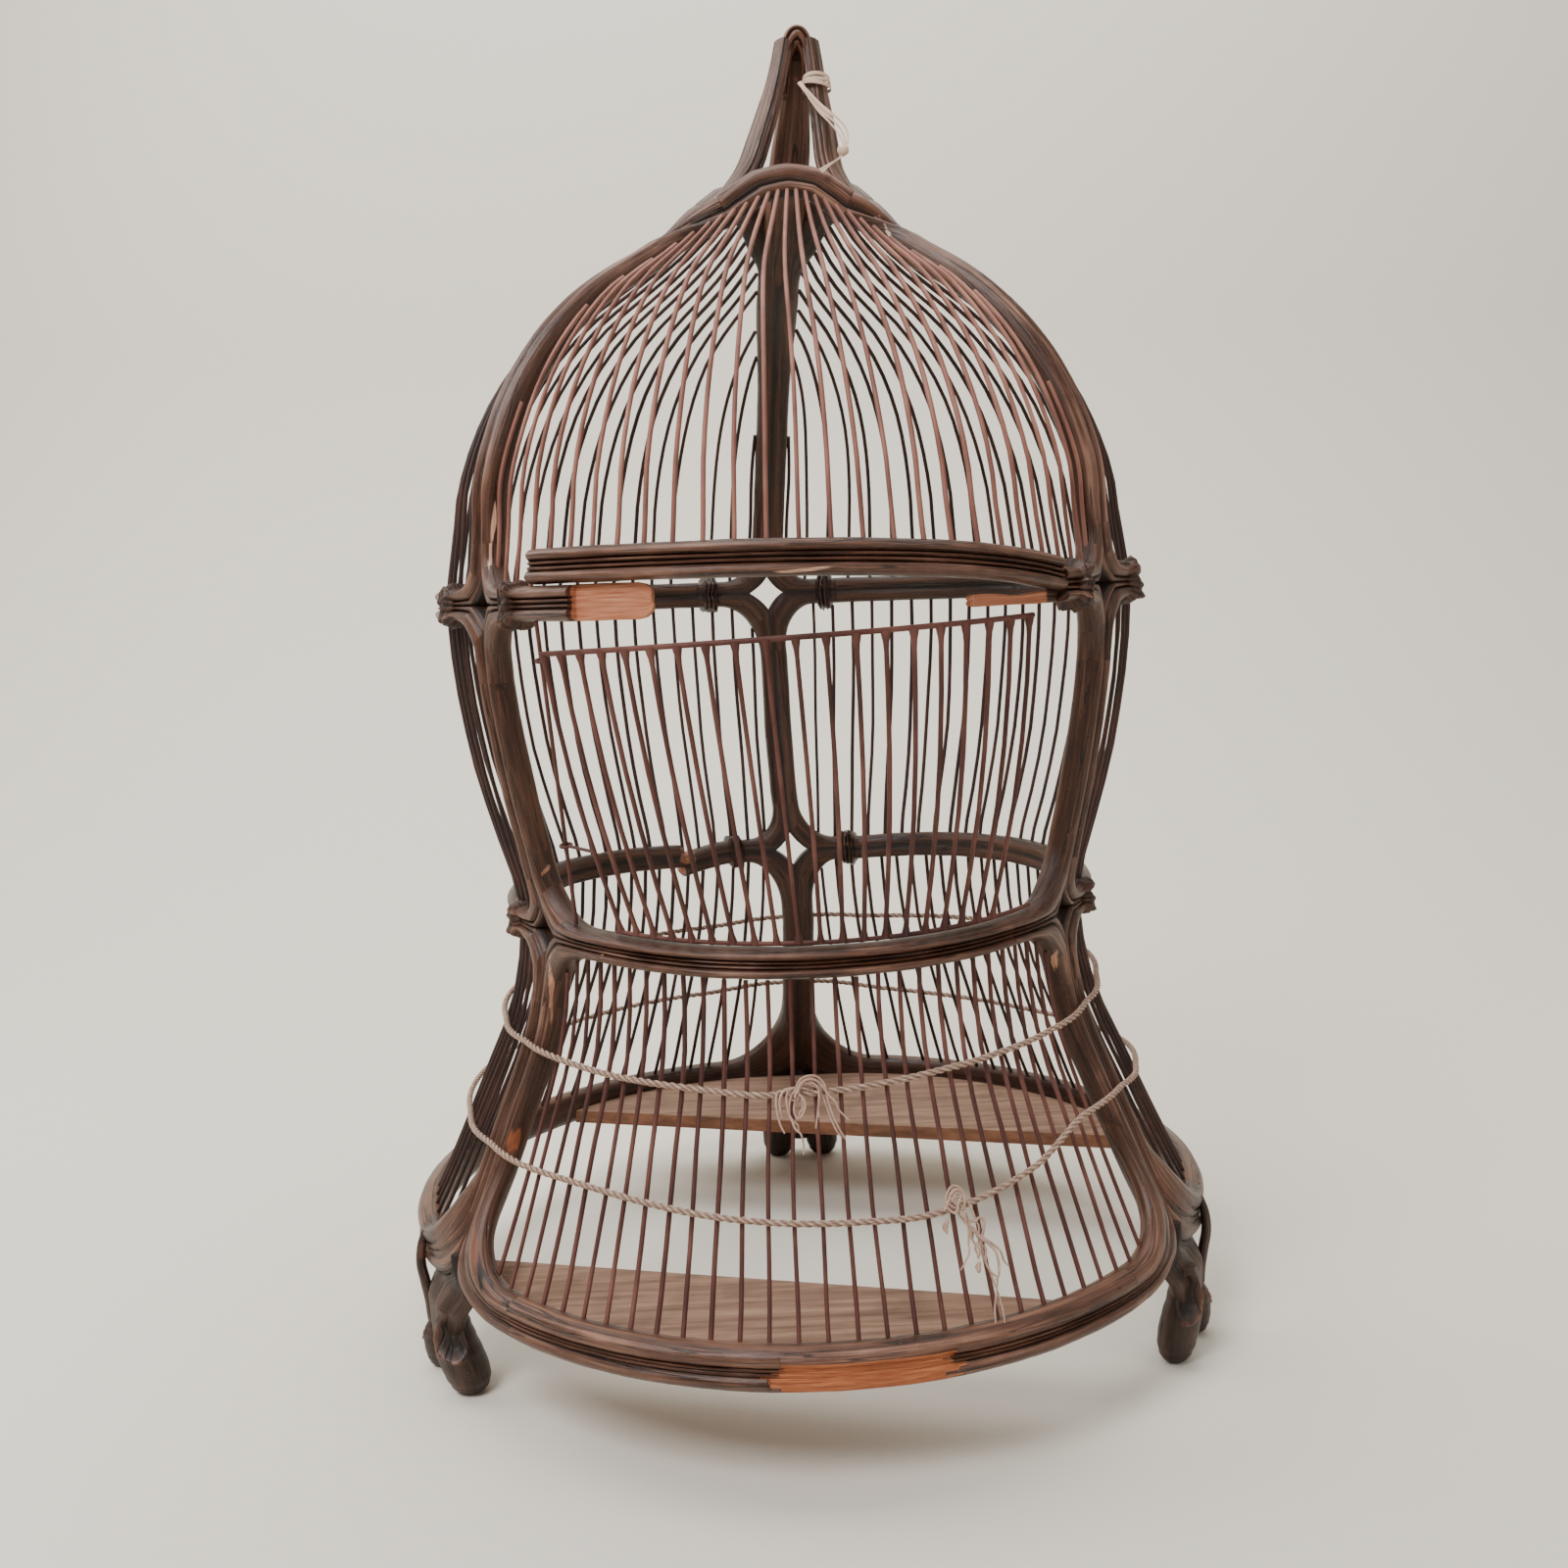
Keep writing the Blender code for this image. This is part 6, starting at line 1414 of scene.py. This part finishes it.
def addBoard(name):
    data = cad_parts[name].data.copy()
    piece = addObject("sawn_" + name, data)
    selectOnly(piece)
    bpy.ops.object.mode_set(mode="EDIT")
    bpy.ops.mesh.select_all(action="SELECT")
    bpy.ops.mesh.remove_doubles(threshold=0.00001)
    bpy.ops.mesh.dissolve_limited(angle_limit=math.radians(2.0))
    bpy.ops.object.mode_set(mode="OBJECT")
    bevel = piece.modifiers.new("worn edge", "BEVEL")
    bevel.width = board["edge"]
    bevel.segments = board["segments"]
    bevel.limit_method = "ANGLE"
    bpy.ops.object.modifier_apply(modifier=bevel.name)
    bpy.data.objects.remove(piece)
    finishPiece("sawn_" + name, data, sawnBoard, (name,), sharp=40.0)


for name in ("floor_board_front", "floor_board_rear"):
    addBoard(name)

# Twine loops with their undone knots. A loop's rows are azimuth and height.
twine = {
    "radius": 0.0019, "slack": 0.0014, "ribSlack": 0.0006, "ribTurn": 4.0, "easeTurn": 16.0, "plies": 3,
    "pitch": 0.015, "stations": 900, "sides": 18, "upperKnot": 266.6, "lowerKnot": 287.5, "upperStrand": 0.00075,
    "lowerStrand": 0.00080, "chip": (0.0003, 0.0012), "lift": (0.0006, 0.0030), "off": 0.0012, "wander": 0.0011,
    "strandSteps": 8, "strandSides": 6, "tip": 0.55, "plyMiddle": 0.82, "plyRise": 0.20, "plyShade": 0.85,
    "upper": ((214.0, 0.199), (249.0, 0.197), (264.0, 0.195), (298.0, 0.202), (316.0, 0.205),
              (350.0, 0.214), (395.0, 0.214), (450.0, 0.207), (520.0, 0.203), (574.0, 0.199)),
    "lower": ((219.0, 0.141), (236.0, 0.142), (260.0, 0.136), (275.0, 0.134), (286.0, 0.134),
              (302.0, 0.1435), (317.0, 0.158), (350.0, 0.154), (392.0, 0.142), (418.0, 0.142),
              (445.0, 0.147), (520.0, 0.144), (579.0, 0.141)),
}
# The strands of each knot, in millimetres across and up from its middle: a bunch of loops and long frayed ends
upperRoutes = (((-3, 2), (-8, 1), (-9, -3), (-8.5, -9), (-7, -15), (-5, -19)),
               ((-1, 3), (-5, 2), (-7, -2), (-7, -8), (-6, -12)),
               ((-2, 3), (-4, -1), (-3.5, -8), (-1.5, -13), (0, -17), (2.5, -19.5), (3.5, -24), (3.5, -29)),
               ((0, 2), (-2, -2), (-3, -8), (-2, -12), (1, -15), (1.5, -18)),
               ((1, 1), (4.5, -3), (4.5, -8), (1.8, -12), (-0.5, -9), (0, -3), (1, 2)),
               ((0, 3), (3, -1), (3.5, -7), (2, -10), (4, -13)),
               ((-3, -1), (-1, 3), (2, 2), (1, -3), (-2, -2), (-1, 3)),
               ((0, -2), (2, 6), (5, 8.5), (9.5, 9), (13, 7), (15, 3), (16, -4), (17.5, -10), (20, -17), (23, -23)),
               ((1, 0), (3, 5), (6, 7.3), (10, 7), (13.5, 3.5), (16.5, -1), (19.5, -5), (21, -9), (25, -14)),
               ((-1, 0), (2, 4), (5, 6), (8.5, 5.5), (11.5, 2.5), (11.5, -4), (10.5, -11), (9.5, -17)),
               ((0, 1), (4, 5), (8, 4.5), (12, 2), (14.5, -4), (16.5, -11), (19, -18), (21.5, -22)),
               ((2, 3), (7, 8), (12, 5), (13, 0), (11.5, -6), (11, -12)),
               ((-6, 1), (-3, 2.5), (0, 0), (3, 3), (7, 2)))
lowerRoutes = (((-4, 1), (-1, 7), (2.5, 10.3), (5.5, 9.5), (8, 6), (8.5, 1)),
               ((-2, 2), (0.5, 7), (4, 8.5), (7, 6), (9.5, -1), (11, -7), (12, -11), (10, -17), (8, -20)),
               ((-3, 3), (1, 5), (5, 4.5), (6, 0), (5, -5), (5.5, -11), (4.5, -17), (3.5, -22), (-2, -28)),
               ((0, 3), (4, 7.5), (7, 3), (4.5, -1), (2, 2), (3, 5)),
               ((2, 1), (3.5, -3), (6, -6), (10, -7.5), (13, -6.5), (15.5, -8), (14, -13), (11.5, -18), (13, -21),
                (11.5, -27), (13, -32), (15, -35), (13, -41), (10.5, -48), (9.5, -54)),
               ((9, -14), (14, -19), (17, -24), (17.5, -30), (16, -34), (14, -35.5)),
               ((8, -12), (15, -18), (19, -23), (20.5, -28), (22.5, -31)),
               ((-1, 2), (2, -1), (5, -6), (8, -12), (7, -16), (9, -20)),
               ((5, -7), (9, -11), (11, -16), (11, -24), (13, -31), (14, -39), (14.5, -48), (14, -55)),
               ((3, 4), (6, -3), (7, -9), (6, -14), (8, -18)),
               ((-5, 0), (-2, 3), (1, 0), (4, 3), (7, 1)),
               ((-4, 2), (0, -2), (3, 2), (6, 5), (8, 3)))
# Thick frayed tips among the lower knot's ends
chipRoutes = (((-3.5, -4), (-5, -8), (-5, -11)), ((9, -17), (8, -21), (7.5, -25)), ((8, -26), (6.5, -29), (6, -31)))
twineRandom = random.Random(11)


def twinePoint(azimuth, height, more=0.0):
    # outside the wires, and further out where it passes over a rib
    turn = abs((azimuth - 30.0) % 120.0 - 60.0)
    onRib = 1.0 - smoothStep((turn - twine["ribTurn"]) / twine["easeTurn"])
    rise = mix(wire["radius"] + twine["slack"], rib["halfDepth"] + twine["ribSlack"], onRib) + twine["radius"]
    return place(azimuth, levelAt(height), rise + more)


def loopHeight(table, azimuth):
    azimuth = (azimuth - table[0][0]) % 360.0 + table[0][0]
    heights = [row[1] for row in table]
    for index in range(len(table) - 1):
        low, high = table[index][0], table[index + 1][0]
        if low <= azimuth <= high:
            return splinePoint(heights, index + (azimuth - low) / (high - low))
    return heights[-1]


def plyRings(points):
    # a laid cord: its plies wind round it, with painted shade where two of them meet
    count = len(points)
    length = sum((points[index] - points[index - 1]).length for index in range(count))
    turns = round(length / twine["pitch"])
    rings = []
    for index, point in enumerate(points):
        direction = (points[(index + 1) % count] - points[index - 1]).normalized()
        outward = Vector((point.x, point.y, 0.0)).normalized()
        across = direction.cross(outward).normalized()
        normal = across.cross(direction).normalized()
        twist = math.tau * turns * index / count
        ring = []
        for turn in turnsOf(twine["sides"]):
            ply = math.cos(twine["plies"] * (turn - twist))
            reach = twine["radius"] * (twine["plyMiddle"] + twine["plyRise"] * ply)
            ring.append(toned(point + reach * (math.cos(turn) * normal + math.sin(turn) * across),
                              twine["plyShade"] * smoothStep(-ply * 0.5 + 0.35)))
        rings.append(ring)
    return rings + [rings[0]]


def addStrand(carving, table, azimuth, route, radius, chip=0.0):
    # one smooth strand that lies on the cage, thinner towards its end
    height = loopHeight(table, azimuth)
    perMetre = math.degrees(1.0 / radiusAt(levelAt(height)))
    knots = [Vector((across, rise, 0.0)) / 1000.0 for across, rise in route]
    lift, wave = twineRandom.uniform(*twine["lift"]), twineRandom.uniform(0.0, math.tau)
    path, radii = [], []
    for share in evenly(0.0, 1.0, twine["strandSteps"] * len(knots)):
        spot = splinePoint(knots, share * (len(knots) - 1.0))
        out = twine["off"] + lift + twine["wander"] * math.sin(wave + 7.0 * share) * math.sin(math.pi * share)
        path.append(twinePoint(azimuth + spot.x * perMetre, height + spot.y, out))
        radii.append(radius * mix(1.0, twine["tip"], share ** 2) + chip * math.sin(math.pi * share ** 0.8))
    carving.loft(tubeRings(path, radii, twine["strandSides"]))


def addTwine(key, strands):
    table = twine[key]
    carving = Carving()
    azimuths = [table[0][0] + 360.0 * step / twine["stations"] for step in range(twine["stations"])]
    carving.loft(plyRings([twinePoint(azimuth, loopHeight(table, azimuth)) for azimuth in azimuths]), openEnds)
    for strand in strands:
        addStrand(carving, table, twine[key + "Knot"], *strand)
    carving.finish("twine_" + key + "_twisted", hempTwine, ("twine_" + key,), sharp=75.0)


addTwine("upper", [(route, twine["upperStrand"]) for route in upperRoutes])
addTwine("lower", [(route, twine["lowerStrand"]) for route in lowerRoutes]
         + [(route, *twine["chip"]) for route in chipRoutes])
print("twine tied")

# Raffia tie round the right leg of the handle: three turns, a knot and a tail of three split strips. The tail's rows
# are its place across and outward and its drop from the top; its strips are a shift to the side and a half width.
tie = {"drop": 0.0350, "halfWidth": 0.0101, "halfDepth": 0.0075, "strip": 0.0011, "thickness": 0.0003,
       "shifts": (0.0019, 0.0001, -0.0017), "grow": 0.05, "wave": 0.0011, "tilt": 0.0010,
       "strips": ((0.0, 0.0015), (1.0, 0.0012), (-0.9, 0.0009)), "fan": (0.0026, -0.0004, 0.0012),
       "tailWidth": 0.0006, "tipWidth": 0.0009, "knotAt": 6, "knotTilts": (0.2, 1.2, 2.1, 2.8), "knotRadius": 0.0034,
       "knotStrip": 0.0014, "knotThickness": 0.0006, "turnSteps": 49, "tailSteps": 90, "knotSteps": 21,
       "waveStep": 1.3, "fanReach": 1.25, "thinFrom": 0.24, "thinOver": 0.12, "tipFrom": 0.82, "knotFlat": 0.8,
       "route": ((0.0165, -0.0205, 0.0380), (0.0206, -0.0240, 0.0447), (0.0279, -0.0260, 0.0547),
                 (0.0352, -0.0290, 0.0626), (0.0398, -0.0310, 0.0689), (0.0420, -0.0330, 0.0758),
                 (0.0404, -0.0350, 0.0815), (0.0378, -0.0375, 0.0865), (0.0303, -0.0430, 0.0923),
                 (0.0262, -0.0465, 0.0960))}
ribbonSection = ((-1.0, 0.0), (-0.7, 0.8), (-0.25, 0.45), (0.25, 1.0), (0.7, 0.6), (1.0, 0.0), (0.7, -0.8),
                 (0.25, -0.5), (-0.25, -1.0), (-0.7, -0.6))


def ribbonRings(points, normals, halfWidths, thickness):
    rings = []
    for index, (point, normal) in enumerate(zip(points, normals)):
        direction = headingAt(points, index)
        normal = (normal - direction * normal.dot(direction)).normalized()
        across = direction.cross(normal).normalized()
        width = halfWidths if isinstance(halfWidths, float) else halfWidths[index]
        rings.append([toned(point + across * (width * x) + normal * (thickness * y)) for x, y in ribbonSection])
    return rings


def addTie():
    carving = Carving()
    centre = ribPlace(2, 0.0, levelAt(cage["topHeight"] - tie["drop"]))
    outward, sideways = compass(ribAzimuths[2])
    for number, shift in enumerate(tie["shifts"]):
        grow = 1.0 + tie["grow"] * number
        points, normals = [], []
        for turn in evenly(0.0, math.tau, tie["turnSteps"]):
            spot = (centre + sideways * (tie["halfWidth"] * grow * math.cos(turn))
                    + outward * (tie["halfDepth"] * grow * math.sin(turn)))
            spot.z += shift + tie["wave"] * math.sin(turn + tie["waveStep"] * number) - tie["tilt"] * math.cos(turn)
            points.append(spot)
            normals.append(sideways * math.cos(turn) + outward * math.sin(turn))
        rings = ribbonRings(points, normals, tie["strip"], tie["thickness"])
        carving.loft(rings[:-1] + [rings[0]], openEnds)
    knots = [Vector((x, y, cage["topHeight"] - drop)) for x, y, drop in tie["route"]]
    last = len(knots) - 1.0
    for shift, width in tie["strips"]:
        points, normals, widths = [], [], []
        for position in evenly(0.0, last, tie["tailSteps"]):
            share = position / last
            fan = math.sin(math.pi * min(1.0, share * tie["fanReach"])) ** 2
            x, y, z = tie["fan"]
            points.append(splinePoint(knots, position) + Vector((x * shift * fan, y * abs(shift), z * shift * fan)))
            normals.append(Vector((0.5 * math.sin(share * 7.0 + shift), -1.0, 0.3 * math.cos(share * 5.0))))
            thin = mix(width, tie["tailWidth"], smoothStep((share - tie["thinFrom"]) / tie["thinOver"]))
            tip = smoothStep((share - tie["tipFrom"]) / (1.0 - tie["tipFrom"]))
            widths.append(thin + tie["tipWidth"] * tip)
        carving.loft(ribbonRings(points, normals, widths, tie["thickness"]))
    # the small knot where the tail leaves
    centre = knots[tie["knotAt"]]
    for tilt in tie["knotTilts"]:
        axis = Vector((math.cos(tilt), -0.3, math.sin(tilt))).normalized()
        first = axis.orthogonal().normalized()
        second = axis.cross(first)
        points = [centre + (first * math.cos(turn) + second * math.sin(turn) * tie["knotFlat"]) * tie["knotRadius"]
                  for turn in evenly(0.0, math.tau, tie["knotSteps"])]
        normals = [(point - centre).normalized() for point in points]
        rings = ribbonRings(points, normals, tie["knotStrip"], tie["knotThickness"])
        carving.loft(rings[:-1] + [rings[0]], openEnds)
    carving.finish("raffia_ribbon", raffiaStrip, ("raffia_tie",))


addTie()
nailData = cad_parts["handle_nail"].data
nailData.materials.clear()
nailData.materials.append(litRustedWire)
print("tie and nail done")

# Floor, backdrop and light. Each softbox: its place, what it points at, its size and its power
studio = {"paper": "#e3ded3", "world": "#ede3d5", "worldStrength": 0.42, "front": -4.0, "back": 1.7, "bend": 0.9,
          "height": 4.5, "halfWidth": 5.0,
          "lights": (((-1.1, -1.5, 2.3), (0.0, 0.0, 0.35), 1.0, 62.0), ((1.7, -1.3, 1.3), (0.0, 0.0, 0.4), 1.4, 9.0),
                     ((-1.5, 0.5, 1.6), (0.0, 0.0, 0.4), 0.9, 15.0), ((0.0, 0.7, 3.2), (0.0, 2.6, 1.1), 2.4, 90.0))}


def addStudio():
    # a pale paper sweep, so that no line shows where the floor ends
    material, add, setShader = startMaterial("paleStudioPaper")
    setShader({"Base Color": linearColour(studio["paper"]), "Roughness": 0.95, "Specular IOR Level": 0.1})
    back, bend = studio["back"], studio["bend"]
    line = [(studio["front"], 0.0), (back - bend, 0.0)]
    for turn in evenly(0.0, math.pi / 2.0, 25)[1:]:
        line.append((back - bend * (1.0 - math.sin(turn)), bend * (1.0 - math.cos(turn))))
    line.append((back, studio["height"]))
    sheet = bmesh.new()
    rows = [[sheet.verts.new((x, y, z)) for x in (-studio["halfWidth"], studio["halfWidth"])] for y, z in line]
    for before, after in zip(rows, rows[1:]):
        sheet.faces.new((before[0], before[1], after[1], after[0]))
    data = bpy.data.meshes.new("studio_sweep")
    sheet.to_mesh(data)
    sheet.free()
    data.shade_smooth()
    data.materials.append(material)
    addObject("studio_sweep", data)
    world = bpy.data.worlds.new("studio")
    bpy.context.scene.world = world
    world.use_nodes = True
    setInputs(world.node_tree, world.node_tree.nodes["Background"],
              {"Color": linearColour(studio["world"]), "Strength": studio["worldStrength"]})
    for spot, aim, size, power in studio["lights"]:
        light = bpy.data.lights.new("softbox", "AREA")
        light.energy = power
        light.size = size
        lamp = addObject("softbox", light)
        lamp.location = spot
        lamp.rotation_euler = (Vector(aim) - Vector(spot)).to_track_quat("-Z", "Y").to_euler()


addStudio()
